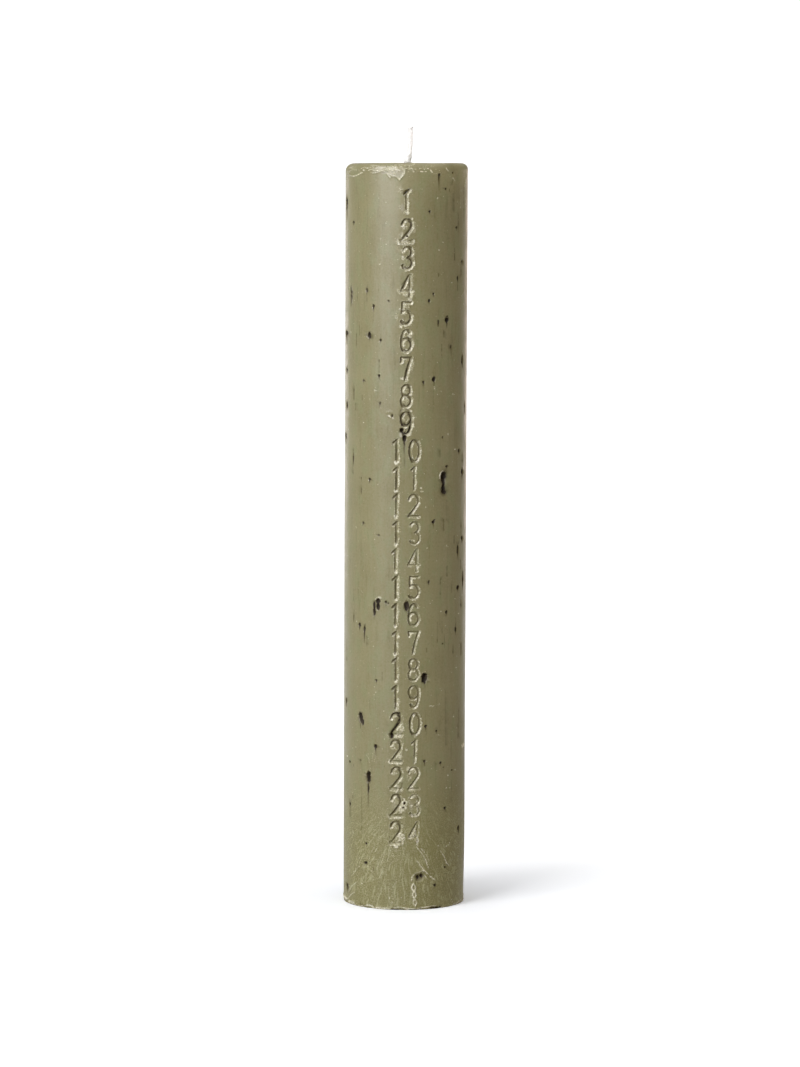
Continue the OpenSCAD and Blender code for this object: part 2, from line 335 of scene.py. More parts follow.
def pits():
    """Every pit, and the painted shade beside a blister, as its place round the wax, its height and the
    sizes of its row above, with its width as it is and not as it looks. Those that the photograph doesn't
    show are scattered over the back."""
    rows = []
    for x, y, half_w, *sizes in PITS_AND_SHADE:
        place, height = on_wax(x, y)
        rows.append((place, height, half_w * widening(place), *sizes))
    draw = np.random.default_rng(24)
    half = ROUND / 2
    for _ in range(HIDDEN_PITS):
        along = draw.uniform(0.52 * half, 1.48 * half)
        size = draw.uniform(0.25, 0.6) * (1 + 1.4 * (draw.random() < 0.1))
        tall = size * draw.uniform(1, 1.9)
        tail = draw.choice((0, 0, 2, 4, 6)) * draw.uniform(0.6, 1.1)
        rows.append((along, draw.uniform(8, 288), size, tall, size, tail))
    return rows


ALL_PITS_AND_SHADE = pits()

# Thin dark scratches: pixel x, first and last y, and how dark
SCRATCHES = [
    (357.5, 288, 300, 0.25), (367, 294, 302, 0.25), (373.4, 311, 321, 0.22), (356.6, 334, 347, 0.4),
    (359.6, 325, 335, 0.25), (380.8, 334, 339, 0.35), (379.1, 360, 373, 0.4), (354, 386, 400, 0.38),
    (355.5, 403, 410, 0.3), (362.4, 395, 400, 0.25), (353.4, 448, 473, 0.3), (361.4, 477, 494, 0.35),
    (354, 613, 622, 0.35), (353.8, 590, 600, 0.2), (366.5, 636, 644, 0.3), (369.9, 700, 712, 0.15),
    (382.3, 672, 681, 0.3), (361.8, 786, 830, 0.22), (350, 806, 816, 0.2), (347, 640, 660, 0.2),
    (434, 206, 218, 0.2), (453.6, 186, 212, 0.22), (457.6, 215, 232, 0.25), (463, 188, 222, 0.2),
    (454, 248, 260, 0.35), (460, 262, 275, 0.3), (456.8, 282, 290, 0.2), (433, 391, 410, 0.22),
    (441.4, 344, 357, 0.25), (443.4, 330, 337, 0.3), (464, 402, 411, 0.35), (440, 449, 458, 0.3),
    (461.5, 452, 468, 0.3), (445.9, 500, 520, 0.15), (443.3, 519, 531, 0.35), (460.2, 523, 531, 0.35),
    (453.5, 536, 543, 0.3), (459.7, 560, 568, 0.35), (446.5, 566, 576, 0.35), (439.9, 580, 598, 0.3),
    (450.7, 584, 593, 0.25), (460, 600, 607, 0.35), (455, 618, 627, 0.3), (437, 622, 642, 0.3),
    (441.7, 629, 633, 0.3), (444, 634, 648, 0.2), (452.4, 645, 653, 0.3), (460, 645, 655, 0.3),
    (426.5, 648, 652, 0.3), (456.5, 696, 699, 0.35), (445, 690, 745, 0.18), (451, 780, 800, 0.15),
    (458, 710, 735, 0.2), (434.5, 763, 768, 0.25), (447, 862, 866, 0.2), (389.5, 836, 842, 0.3),
]

# Pale strokes along the rim, at the foot and by the pits, as photograph pixels, a few of them painted
# highlights; each has half its width in millimetres, how far it stands out and how pale it is
STROKES = [
    ([(349.3, 171.3), (352, 170), (356.5, 170), (360.5, 170)], 0.22, 0.08, 0.7),
    ([(348.5, 173.8), (351.5, 175.5), (354, 176.3), (357, 175.3), (360, 174), (362.5, 172.5)],
     0.24, 0.14, 1),
    ([(363.3, 169.9), (365, 170.8)], 0.3, 0.1, 1),
    ([(368.5, 170.6), (370.5, 169.3), (372.5, 169.6), (374, 171), (376, 170.8)], 0.24, 0.12, 0.9),
    ([(377, 170.6), (380, 171.3), (383.5, 171.2)], 0.24, 0.1, 0.9),
    ([(387.5, 174), (389, 176), (390.3, 178)], 0.3, 0.14, 1.25),
    ([(390, 175), (393, 176.6), (395, 176), (398, 178.5)], 0.24, 0.14, 0.6),
    ([(398, 178.5), (399.5, 179.9), (401.5, 177.5), (404.3, 174), (405, 169.3)], 0.32, 0.16, 1.1),
    ([(404, 169.5), (407, 168.8)], 0.22, 0.1, 0.9),
    ([(410, 168.5), (412, 168.5), (414, 171.9)], 0.24, 0.12, 1),
    ([(415.3, 169.3), (415.9, 169.8)], 0.25, 0.1, 1), ([(418.3, 168.3), (428.6, 168.3)], 0.2, 0.08, 0.45),
    ([(417.2, 171.6), (426, 171.4)], 0.22, 0.08, 0.5), ([(430, 169.6), (432, 172.4)], 0.28, 0.14, 1),
    ([(432, 172.4), (434, 173.6), (437, 173.6)], 0.2, 0.08, 0.7),
    ([(441, 174.6), (447, 177), (451.5, 178.2)], 0.18, 0.05, 0.3),
    ([(445.8, 168.6), (447.6, 171.2)], 0.28, 0.14, 1.25),
    ([(448.6, 175.4), (449.6, 176.1)], 0.28, 0.1, 0.8),
    ([(452, 177.7), (453, 178.8), (454.3, 181)], 0.26, 0.12, 1.2),
    ([(466.3, 175.5), (464.5, 180), (463.5, 187)], 0.25, 0.1, 0.6),
    # Painted highlight along the rim's top, which faces up: this row and the next
    ([(368, 166), (372.5, 165.8)], 0.25, 0.08, 0.5),
    ([(375, 166.3), (384, 166.6), (392, 165.6), (404, 164.8)], 0.3, 0.08, 0.45),
    ([(411.5, 881), (412, 877), (415, 873.6), (419.5, 872), (423.8, 870.3)], 0.28, 0.16, 0.9),
    ([(423.4, 870.4), (424.2, 870.9)], 0.35, 0.12, 1.3),
    ([(439.7, 478), (439.7, 475), (440.7, 472.6), (442.4, 471.4), (444.8, 471.8)], 0.36, 0.16, 1.9),
    ([(375.6, 599.2), (378, 597.6), (381, 598.6)], 0.26, 0.08, 0.9),
    ([(403, 860.5), (404.2, 861)], 0.2, 0.05, 0.5),
    ([(420.9, 674.6), (422.6, 672.6), (425.5, 672)], 0.22, 0.08, 0.8),
    ([(391.5, 845.5), (390, 851), (388, 857), (387, 862)], 0.16, 0.05, 0.6),
    ([(394, 845.3), (397.5, 846.7)], 0.42, 0.12, 1.25),
    ([(416.5, 847), (421.5, 853), (424.6, 857.7), (428.3, 868)], 0.22, 0.09, 1.05),
    ([(421, 849), (425.5, 859), (432, 869)], 0.14, 0.05, 0.5),
    ([(417, 861), (423.9, 870.1), (430, 876), (435.5, 880)], 0.22, 0.08, 1.05),
    ([(422.3, 872), (427.2, 878.9)], 0.2, 0.07, 0.95),
    ([(384, 849), (378, 853), (370, 863)], 0.14, 0.05, 0.5),
    ([(380, 862), (374, 872), (369, 884)], 0.14, 0.05, 0.5),
    ([(360, 857), (356.5, 866), (355.5, 872)], 0.16, 0.06, 0.6),
    ([(440.5, 851), (444.2, 857), (445.5, 862.2), (448.3, 865)], 0.22, 0.08, 1.05),
    ([(342.9, 894), (345, 896.5), (346.8, 899.3)], 0.32, 0.12, 1.2),
    # Painted highlights on the blister at 390, 414: this row is its bright lower left, the next its lit top
    ([(390.2, 417.2), (388.7, 416.4)], 0.28, 0.12, 1),
    ([(386.5, 412.5), (389.5, 411.6), (391.5, 412)], 0.5, 0.03, 0.35),
    # Painted highlight along the rim's top: this row
    ([(370, 166.2), (374, 165.6), (380, 166.6), (388, 165.6)], 0.2, 0.06, 0.6),
    ([(366, 168.2), (371, 167.4), (375, 167.8)], 0.2, 0.06, 0.7),
    ([(386, 168.5), (391, 167.3), (397, 167)], 0.22, 0.08, 0.8),
    ([(361, 168.8), (364, 167.2), (368, 168.6)], 0.18, 0.06, 0.8),
    ([(371, 172.6), (374, 173.4), (378, 172.6)], 0.2, 0.08, 0.8),
    ([(383, 169.4), (387, 170.2), (391, 169.4)], 0.2, 0.08, 0.8),
    ([(392, 171), (395, 169.8), (399, 170.8)], 0.2, 0.08, 0.9),
    ([(394, 173.5), (396.5, 174.6)], 0.22, 0.08, 0.9),
    ([(400, 166.2), (402.5, 167.4), (406, 166.4)], 0.18, 0.06, 0.7),
    ([(407, 171), (409.5, 172)], 0.2, 0.08, 0.8), ([(434.5, 170), (436.5, 169.4)], 0.18, 0.06, 0.6),
    ([(437.5, 172.2), (440, 172.8), (443, 172)], 0.18, 0.06, 0.6),
    ([(349, 168), (351, 166.8)], 0.3, 0.06, 0.8), ([(420.5, 171.5), (423, 171.7)], 0.26, 0.1, 1.1),
    ([(425, 171.4), (426.2, 171.6)], 0.26, 0.1, 1.1), ([(419.5, 168.6), (421.5, 168.6)], 0.24, 0.08, 0.9),
    ([(424, 169.4), (425.5, 169)], 0.22, 0.08, 0.8), ([(427, 168.8), (428.4, 169)], 0.22, 0.08, 0.8),
    # Painted highlight along the rim's top: the two rows on this line and the first on the next
    ([(445, 164.2), (446, 164.8)], 0.3, 0.05, 0.8), ([(413, 164.6), (415, 164.2)], 0.3, 0.05, 0.7),
    ([(405, 165.6), (407, 164.8)], 0.3, 0.05, 0.6), ([(344, 894.6), (346.5, 898)], 0.5, 0.25, 1.3),
    ([(350, 900.8), (353.5, 902.3)], 0.42, 0.15, 1.3), ([(362, 905.6), (364.5, 905.9)], 0.38, 0.1, 1.2),
    ([(367, 905.3), (369.5, 905.6), (373, 907.3)], 0.45, 0.12, 1.3),
    ([(376.5, 907.4), (380.5, 907.2)], 0.3, 0.08, 0.9), ([(381, 908.3), (383, 908.5)], 0.35, 0.1, 1.1),
    ([(384, 908.2), (392, 908.2), (399, 907.2), (408, 908.6), (418.5, 908.4)], 0.26, 0.1, 1),
    ([(420, 907.6), (427, 906.8), (433, 905.6), (440, 906.3)], 0.26, 0.1, 0.9),
    ([(441, 906.3), (447, 905.2), (452, 904.2)], 0.18, 0.05, 0.5),
    ([(454, 903.5), (457, 902.3), (460, 900.2), (462, 898.4)], 0.26, 0.08, 0.9),
    ([(460.3, 296), (462.6, 293.6), (463.7, 290)], 0.17, 0.05, 0.8),
    ([(359, 170.5), (361, 173)], 0.2, 0.1, 0.8),
    ([(455.3, 181), (456.2, 190), (457, 204)], 0.18, 0.03, 0.5),
    ([(459, 184), (459.3, 196), (459.6, 208)], 0.25, 0.03, 0.6),
    ([(464.8, 186), (464.8, 200), (464.6, 214)], 0.2, 0.03, 0.6),
    ([(373.5, 848), (371, 853), (369, 860)], 0.16, 0.05, 0.7),
    ([(377.5, 847), (376, 850), (375, 852.5)], 0.18, 0.05, 0.8),
    ([(385, 850), (383.5, 856), (381, 863)], 0.14, 0.05, 0.7),
    ([(380, 857), (377.5, 866), (375, 876)], 0.13, 0.04, 0.55),
    ([(384.5, 868), (381, 874), (378.5, 880), (378, 897)], 0.16, 0.05, 0.7),
    ([(391, 864), (388.5, 868), (386, 877)], 0.13, 0.04, 0.6),
    ([(352, 876), (355.5, 871), (360, 866)], 0.15, 0.05, 0.7),
    ([(349, 892), (352, 886), (357, 882)], 0.17, 0.06, 0.8),
    ([(348, 899), (351, 895), (353.5, 892.5)], 0.2, 0.06, 0.8),
    ([(358, 868), (360, 861), (363.5, 856)], 0.14, 0.05, 0.6),
    ([(398, 880), (392, 888), (388, 896)], 0.13, 0.04, 0.5),
    ([(403, 869), (404.5, 878), (406, 889)], 0.12, 0.04, 0.35),
    ([(420.5, 848), (425, 853), (429, 860.5)], 0.19, 0.07, 0.9),
    ([(418, 862), (421, 868), (423.5, 871.5)], 0.17, 0.07, 0.8),
    ([(426.5, 872), (431, 878), (434.5, 880)], 0.14, 0.05, 0.7),
    ([(437.5, 868), (441, 874), (442.5, 880)], 0.13, 0.04, 0.4),
    ([(445.5, 860), (446.8, 863.5), (448.5, 865.5)], 0.17, 0.06, 0.8),
    ([(424, 889), (425.5, 897), (426, 905)], 0.14, 0.05, 0.55),
    ([(348.5, 901), (351.5, 902.8), (355, 904.5)], 0.34, 0.1, 1.2),
    ([(366.3, 754.5), (368.8, 758.5), (369.8, 763)], 0.14, 0.04, 0.65),
    ([(373, 761.5), (380, 761), (388, 761.6)], 0.12, 0.03, 0.45),
    ([(369, 775), (371.5, 770), (370, 765.5)], 0.12, 0.03, 0.5),
    ([(429.5, 705), (432, 706.3), (434, 705.8)], 0.16, 0.05, 0.85),
    ([(436, 705.5), (438.5, 704)], 0.14, 0.05, 0.8),
    ([(436.3, 735), (438.6, 734.2), (440.2, 734.8)], 0.13, 0.04, 0.7),
    ([(462, 743.6), (462.4, 747)], 0.24, 0.1, 1.1), ([(463, 897.5), (465, 894)], 0.3, 0.1, 0.8),
]

# Bruised patches, mostly beside the figures, partly painted highlight on walls that face the light, and
# painted highlights: pixel x and y, half width and half height in pixels, and how pale
BRUISES_AND_HIGHLIGHTS = [
    (401, 190, 2.5, 3.5, 0.5), (400, 207, 1.5, 3, 0.5), (408, 207, 1.2, 6, 0.8), (408, 213, 1.5, 1.5, 1),
    (404, 227, 3.5, 3, 0.6), (404, 242, 8, 3.5, 0.55), (414, 228, 1.6, 7, 0.6), (399, 244, 1.3, 1.3, 1),
    (412.3, 219, 1, 1.2, 0.9), (404, 251.5, 3.5, 2.5, 0.7), (413, 255, 1.6, 7, 0.6),
    (404, 268, 4, 1.8, 0.6), (412.5, 265, 1.5, 3, 0.7), (402, 292, 4.5, 3.5, 0.6),
    (411.5, 292, 1.6, 6, 0.8), (406, 306, 4, 2.6, 0.6), (404, 313, 3, 2, 0.6), (411, 320, 1.8, 6, 0.6),
    (401, 327, 2.5, 1.6, 0.7), (396.5, 317, 1.2, 4, 0.6), (409, 333, 3, 2, 0.8), (404, 350, 4, 2.5, 0.6),
    (411.5, 346, 1.4, 7, 0.6), (404, 361, 4, 1.8, 0.5), (412.5, 365, 1.5, 8, 0.6),
    (404, 378.5, 4, 1.5, 0.8), (406, 390, 2, 3.5, 0.5), (411.8, 393, 1.2, 5, 0.6),
    (406, 400, 2.5, 4, 0.45), (411.5, 404, 1.2, 4, 0.6), (407, 408.5, 4, 1.4, 0.7),
    # Painted highlights: the rows at x near 396, from y 463 here to y 706, are the lit feet of the tens'
    # ones, whose end walls face up; the rows at 411.6, 582 and 412, 588 are glints in the fifteenth day's 5
    (411.2, 420, 1.2, 7, 0.5), (411.2, 411.4, 0.9, 0.9, 1), (396, 463, 2, 2.5, 1),
    (419, 442, 1.1, 2, 0.8), (417.5, 459, 1.6, 2, 0.9), (409.5, 457, 1, 3, 0.5), (396, 491, 2.2, 1.6, 1),
    (415.2, 486, 1, 4, 0.6), (421, 488.2, 1, 1, 0.9), (421.5, 491.5, 1, 0.8, 0.8), (396, 517, 2, 3, 1),
    (410.3, 500, 1.6, 2.5, 0.7), (396, 545, 1.6, 2.5, 1), (411.5, 526, 1.2, 2, 0.7),
    (413, 541, 3, 1.3, 0.6), (396, 572, 2, 2.2, 1), (412.6, 562, 2, 3, 0.6), (417, 568, 1.3, 3, 0.8),
    (396, 600, 1.8, 1.8, 0.9), (411.6, 582, 1.5, 2.8, 1), (412, 588, 1.6, 1, 0.9),
    (395.5, 626, 1.4, 2.6, 0.9), (399, 637, 1.1, 1.1, 1), (395, 654, 1.6, 2, 0.9),
    (413, 651, 1.6, 3, 0.5), (396, 682, 1.6, 2, 0.9), (409.5, 677, 1, 3.5, 0.6), (417, 677, 1.1, 3, 0.8),
    (396, 706, 1.3, 4.5, 0.9), (394, 717, 4, 2.5, 0.55), (401.5, 728, 3, 5, 0.8),
    (399, 735.5, 4.5, 2.5, 0.7), (418.5, 732, 1, 2.5, 0.8), (394, 748, 3.2, 3, 0.5),
    (400, 756, 3, 4, 0.65), (397.5, 763.5, 5.5, 1.5, 0.75), (416.2, 747, 1, 1.4, 0.8),
    (415.5, 761, 1, 2, 0.7), (406.5, 750, 1.1, 1.1, 0.8), (394.5, 773, 3, 3, 0.55),
    (399.5, 788, 4, 3.5, 0.75), (398, 791.5, 5, 1.5, 0.6), (413, 771, 4, 3, 0.6), (411, 787, 2, 1.6, 0.6),
    (394.5, 801, 3, 3, 0.55), (401, 809, 3, 5, 0.75), (397.5, 818, 5.5, 1.6, 0.8),
    (409, 800, 1.6, 5, 0.6), (417.5, 806, 1.6, 8, 0.7), (413, 815.5, 4, 1.6, 0.8),
    (403.5, 802, 2.5, 6, 0.8), (394.5, 827, 3, 3, 0.5), (401.5, 836, 4.2, 4.2, 0.85),
    (398.5, 842.5, 5, 3, 0.75), (396, 847, 2.4, 1.4, 1), (413.5, 832, 2, 5, 0.55),
    (410, 837.5, 3.5, 1.6, 0.8), (417.3, 841, 1.2, 6, 0.8), (394, 171, 8, 5, 0.42),
    (374, 756, 3, 6, 0.35), (447.2, 775, 1.2, 1.2, 0.7), (462.6, 744.8, 1.4, 3, 0.8),
    # Painted highlight along the rim's top, which faces up: the long, low rows near y 166 on this line and
    # the next
    (377, 166.4, 7, 1.2, 0.4), (394, 166, 9, 1.4, 0.42), (381.5, 171.2, 4, 1, 0.35),
    (352, 168, 4, 1.4, 0.5), (410, 166, 6, 1.4, 0.45), (430, 166, 12, 1.4, 0.3),
    (404.5, 805, 3.2, 6, 0.9), (412, 790, 5, 2, 0.6), (409, 778, 3, 5, 0.5), (416, 796, 3, 3, 0.55),
    (409, 769, 3, 3, 0.75), (405, 293, 4, 4, 0.7), (405, 213, 3, 2, 0.5), (410, 300, 2.5, 3, 0.8),
    (403, 258, 2.5, 2, 0.8), (404, 310, 4, 2, 0.75), (403.5, 323, 2.5, 2.5, 0.6), (403.5, 345, 3, 2, 0.7),
    (406, 350.5, 4, 1.5, 0.8), (409, 337, 2, 2, 0.8), (405, 343, 2.2, 3, 0.5), (402.5, 236, 3, 2.5, 0.7),
    (407, 420, 1.6, 3, 0.5), (406, 398.5, 2, 3, 0.5), (404, 434.5, 2.4, 1.6, 0.7), (412, 797, 4, 2, 0.7),
    (411, 806, 2.4, 2, 0.65), (413, 834, 2.5, 4, 0.7),
]

# Bright specks: pixel x and y and how bright, past 1 where they are almost white
SPECKS = [
    (437.3, 198, 1.3), (438.8, 250, 1.4), (442.4, 242.5, 0.9), (451.2, 282.5, 0.9), (421.8, 189.3, 0.9),
    (434, 387, 1), (441, 391, 0.8), (452.3, 394, 1.3), (427.4, 391.3, 0.8), (429.8, 376.5, 0.8),
    (449, 396, 0.7), (447.4, 433.6, 1.2), (454.3, 449.2, 1.3), (449.5, 429, 0.7), (430.2, 417.5, 0.7),
    (433.7, 406, 0.8), (428.6, 404.3, 0.8), (421.5, 488.3, 1.1), (422.6, 491.4, 1), (426, 469.8, 0.7),
    (424.5, 473.7, 0.8), (437, 472.8, 0.9), (425.5, 507, 0.9), (433.2, 505.8, 0.8), (427, 548, 0.9),
    (446, 545, 0.8), (432, 600.4, 0.9), (430, 603.4, 0.8), (454, 598.6, 1), (440.4, 611.3, 0.9),
    (457.8, 613.3, 0.9), (445, 626, 0.9), (429.8, 706, 1.1), (432.6, 706.4, 1.1), (438.8, 704, 1.1),
    (455.6, 667.5, 0.9), (453, 716.6, 1), (438.8, 735, 0.9), (447.3, 775.3, 1.2), (445.6, 788.2, 1),
    (449.4, 787.4, 0.9), (443.7, 792.4, 0.8), (454.3, 769.6, 1), (426.6, 761.3, 0.7), (362.7, 292.2, 1),
    (376, 305.5, 0.8), (351.4, 332, 1), (380.5, 239.6, 0.9), (379.7, 264.7, 0.8), (374.4, 390.5, 1.1),
    (364, 422.4, 1), (378, 484.5, 0.9), (356.4, 526.9, 1.1), (356, 565.2, 0.8), (362, 591.5, 0.8),
    (356.8, 621.4, 0.9), (376, 692.4, 0.9), (356, 747, 1), (382, 749, 0.9), (406.6, 750, 1.2),
    (347.5, 756, 1.1), (345, 758.5, 1), (353.6, 833, 1), (359.8, 840.5, 0.9), (446, 846, 1.1),
    (449, 842.5, 1.1), (448.5, 844.5, 0.9), (438, 845.6, 0.9), (354, 871.5, 1), (362, 883.5, 1.2),
    (354.3, 892.2, 1.2), (389.4, 898, 1.3), (392.4, 902.7, 1.2), (401.4, 897.6, 0.9), (404, 849, 0.8),
    (371.5, 871, 0.9), (457.8, 856, 0.8), (452.3, 901.5, 0.9), (434.5, 893, 0.7), (374, 835, 0.8),
    (363.5, 850, 0.8), (382, 888, 0.8), (409, 893.5, 0.7), (436.3, 857.5, 0.8), (456.6, 847.6, 0.8),
]

# Milky patches, without crumbs: pixel x and y, half width and half height in pixels, and how milky
MILKY = [
    (396, 173, 7, 4.2, 0.6), (377, 171.5, 4, 1.6, 0.6), (384, 172.5, 3.5, 1.6, 0.7),
    (402, 434.5, 3, 2.6, 0.9), (408, 434, 2.6, 2, 0.7), (398, 703, 1.5, 5, 0.8), (396, 710, 1.3, 2, 0.8),
    (396, 806, 4, 5, 0.3), (403.5, 806, 2.6, 5, 0.8), (411, 806, 2, 5, 0.4), (402, 207, 2, 4, 0.5),
    (405, 268, 5, 2, 0.5), (404, 243, 6, 2.5, 0.5), (347.5, 413, 2, 4, 0.3),
]

# The drip's two pale strands at the foot, which cross like links: their ends and swing as photograph
# pixels, the number of links, and the sizes that a row of STROKES has
DRIP_TOP, DRIP_FOOT, DRIP_HALF, DRIP_LINKS = (413.4, 884), (415.2, 906), 2.0, 3
DRIP_SIZES = (0.36, 0.2, 1.15)
# Scallops of the rim on the side that the photograph doesn't show
FAR_SCALLOPS = 26


def drip_lines():
    """The drip's two strands as photograph pixels."""
    (x0, y0), (x1, y1) = DRIP_TOP, DRIP_FOOT
    lines = [[], []]
    for t in np.linspace(0, 1, 25):
        swing = DRIP_HALF * (1 - 0.35 * t) * math.sin(math.pi * DRIP_LINKS * t)
        middle = x0 + (x1 - x0) * t, y0 + (y1 - y0) * t
        lines[0].append((middle[0] + swing, middle[1]))
        lines[1].append((middle[0] - swing, middle[1]))
    return lines


def placed_strokes():
    """Every stroke as points round the wax and up it: those above, the drip, and scallops like the
    rim's on the side that the photograph doesn't show."""
    strokes = STROKES + [(line, *DRIP_SIZES) for line in drip_lines()]
    rows = [([on_wax(x, y) for x, y in line], *sizes) for line, *sizes in strokes]
    draw = np.random.default_rng(5)
    for place in np.linspace(0.27, 0.73, FAR_SCALLOPS) * ROUND:
        half = draw.uniform(0.6, 2.6)
        drop = draw.uniform(2.3, 3.6)
        sag = draw.uniform(0.3, 1.6)
        turns = np.linspace(-1, 1, 6)
        line = [(place + half * t, HEIGHT - drop - sag * (1 - t * t)) for t in turns]
        rows.append((line, draw.uniform(0.18, 0.32), 0.12, draw.uniform(0.4, 1)))
    return rows


ALL_STROKES = placed_strokes()

# Dark smears, and painted shade in some figures' grooves: photograph pixels, half the width in
# millimetres, the depth and how dark
SMEARS_AND_SHADE = [
    ([(417.6, 876.2), (418, 878.4)], 0.95, 0.7, 0.55), ([(421, 875), (421.9, 877)], 0.9, 0.7, 0.55),
    ([(451, 167), (456, 176), (457, 196)], 2.2, 0, 0.1), ([(416.4, 879.2), (416.8, 880)], 0.3, 0.3, 0.42),
    # Painted shade in the grooves of the first day's flag, the second day's diagonal and the fourth's
    ([(404.7, 193.3), (406.8, 191.9), (408.6, 190.8)], 0.36, 0.25, 0.5),
    ([(409.6, 227), (408.4, 230), (405.6, 233.6), (402.4, 237.4)], 0.28, 0.12, 0.44),
    ([(408.6, 275), (405.6, 279.6), (402, 284.8)], 0.26, 0.1, 0.42),
    ([(444, 475.2), (443.9, 477)], 1.5, 1.1, 0.95), ([(443.9, 476), (443.8, 489)], 0.95, 0.8, 0.85),
    ([(444.1, 488), (444.2, 491)], 1.35, 1, 0.9),
    ([(399, 719.5), (397.5, 723.5), (393.5, 729), (391, 733.5), (391.3, 738)], 0.5, 0.3, 0.62),
    # Painted shade along the upper left of the ninth day's loop: these two rows
    ([(402, 408.5), (400.5, 411.5), (399.8, 416)], 0.3, 0.1, 0.4),
    ([(405, 408.8), (408.5, 410), (409.5, 414)], 0.22, 0.05, 0.4),
    ([(452, 180.5), (451.6, 184)], 0.5, 0.05, 0.3),
    ([(398.8, 792), (401, 787), (402.3, 783)], 0.3, 0.05, 0.3),
    ([(360, 903.6), (364, 905.6)], 0.25, 0, 0.4), ([(391.5, 909.5), (397.5, 909.7)], 0.45, 0.2, 0.75),
    ([(430, 908), (440, 907)], 0.42, 0.2, 0.7), ([(410, 910), (417, 909.6)], 0.25, 0.1, 0.5),
]
ALL_SMEARS_AND_SHADE = [([on_wax(x, y) for x, y in line], *sizes) for line, *sizes in SMEARS_AND_SHADE]

# The scratches as lines round the wax and up it
ALL_SCRATCHES = [([on_wax(x, top), on_wax(x, end)], strength) for x, top, end, strength in SCRATCHES]

# Chips along the foot's edge, and its radius
FOOT_CHIPS = 46
SKIN_FOOT_R = 0.3
# The hole that is left in the bottom and the top of the skin: its radius below and its depth above
HOLE_R, HOLE_DEEP = 0.3, 4
# Base rows of the foot's face, the rim, the top and the wax that climbs the wick
FACE_ROWS, RIM_ROWS, TOP_ROWS, CLIMB_ROWS = 6, 4, 12, 1


def skin_profile():
    """Rows of the wax's surface, from the hole in its base over the foot, the wall and the rim to
    the hole in its top: radius, height, the outward direction of each and how far the row follows
    the wick off the pillar's axis. A base row holds FINE rows. Also gives the rows of the corners."""
    neck_r = BORE_R + SHEET + SEAT
    disc_r = (tin_high[0] - tin_low[0]) / 2 + SEAT
    disc_top = tin_low[2] + SHEET + SEAT
    neck_top = tin_high[2] + SEAT
    flat_r = RADIUS - RIM_R
    edge_r = RADIUS - SKIN_FOOT_R
    climb_r = BORE_R + MENISCUS_W
    climb_top = HEIGHT + MENISCUS_H
    wall_rows = round((HEIGHT - RIM_R - SKIN_FOOT_R) / BASE_CELL)
    rows, corners = [], []

    def straight(start, end, normal, base_rows):
        for t in np.arange(base_rows * FINE) / (base_rows * FINE):
            r, z = (a + (b - a) * t for a, b in zip(start, end))
            rows.append((r, z, *normal))

    def bend(centre, rx, rz, start, end, base_rows, sign=1):
        for t in np.arange(base_rows * FINE) / (base_rows * FINE):
            turn = math.radians(start + (end - start) * t)
            c, s = math.cos(turn), math.sin(turn)
            rows.append((centre[0] + rx * c, centre[1] + rz * s, sign * c, sign * s))

    recess = [(HOLE_R, neck_top), (neck_r, neck_top), (neck_r, disc_top), (disc_r, disc_top), (disc_r, 0)]
    outward = ((0, -1, 1), (-1, 0, 1), (0, -1, 2), (-1, 0, 1))
    for start, end, (out_r, out_z, base_rows) in zip(recess, recess[1:], outward):
        straight(start, end, (out_r, out_z), base_rows)
        corners.append(len(rows))
    straight((disc_r, 0), (edge_r, 0), (0, -1), FACE_ROWS)
    bend((edge_r, SKIN_FOOT_R), SKIN_FOOT_R, SKIN_FOOT_R, -90, 0, 1)
    straight((RADIUS, SKIN_FOOT_R), (RADIUS, HEIGHT - RIM_R), (1, 0), wall_rows)
    bend((flat_r, HEIGHT - RIM_R), RIM_R, RIM_R, 0, 90, RIM_ROWS)
    straight((flat_r, HEIGHT), (climb_r, HEIGHT), (0, 1), TOP_ROWS)
    bend((climb_r, climb_top), MENISCUS_W, MENISCUS_H, -90, -170, CLIMB_ROWS, -1)
    corners.append(len(rows))
    straight((BORE_R, climb_top), (BORE_R, HEIGHT - HOLE_DEEP), (-1, 0), 1)
    rows.append((BORE_R, HEIGHT - HOLE_DEEP, -1, 0))
    rows = np.array(rows)
    follow = np.clip((flat_r - rows[:, 0]) / (flat_r - climb_r), 0, 1)
    hidden = rows[:, 1] < disc_top + 6 * SEAT
    follow = np.where(hidden & (rows[:, 0] < disc_r + SEAT), 1, follow)
    return rows, follow, corners


# The skin's grid: base cells of about this size, each of which may be cut into up to FINE by FINE
BASE_CELL, FINE = 1.72, 6
PARTS = (1, 2, 3, FINE)
COLUMNS = round(ROUND / BASE_CELL)
# What is cut more finely: the strip round the figures, by half its width and its heights, the bands
# at the rim and the foot, by their heights, and the wax near a groove's line. FRONT_SHARE is how far
# the front goes to each side, as a share of the way round, and CELL_SLACK is added to half a cell
STRIP_HALF, STRIP_SPAN = 8.4, (LAST_RISE - 8, HEIGHT - FIRST_DROP + 8)
RIM_BAND, FOOT_BAND, FIGURE_REACH = 7, 2.4, 0.95
FRONT_SHARE, CELL_SLACK = 0.27, 0.05
# Half the width of a speck, of a scratch and of a pit's tail, and how much darker scratches are made
SPECK_R, SCRATCH_R, TAIL_R = 0.32, 0.18, 0.17
SCRATCH_DARK = 1.5
# How far the wax stands out of its plan: all round, more at its right, and at the rim's right corner
SWELL, SWELL_RIGHT, CORNER = 0.07, 0.25, 0.5


def round_gap(along, place):
    """Signed distance round the wax from a place, the short way."""
    return (along - place + ROUND / 2) % ROUND - ROUND / 2


def figure_lines(figure, place, height):
    """Middle lines of a figure's grooves, as points round the wax and up it."""
    return [[(place + x * LINE_W, height + y * LINE_H) for x, y in line] for line in FIGURES[figure]]


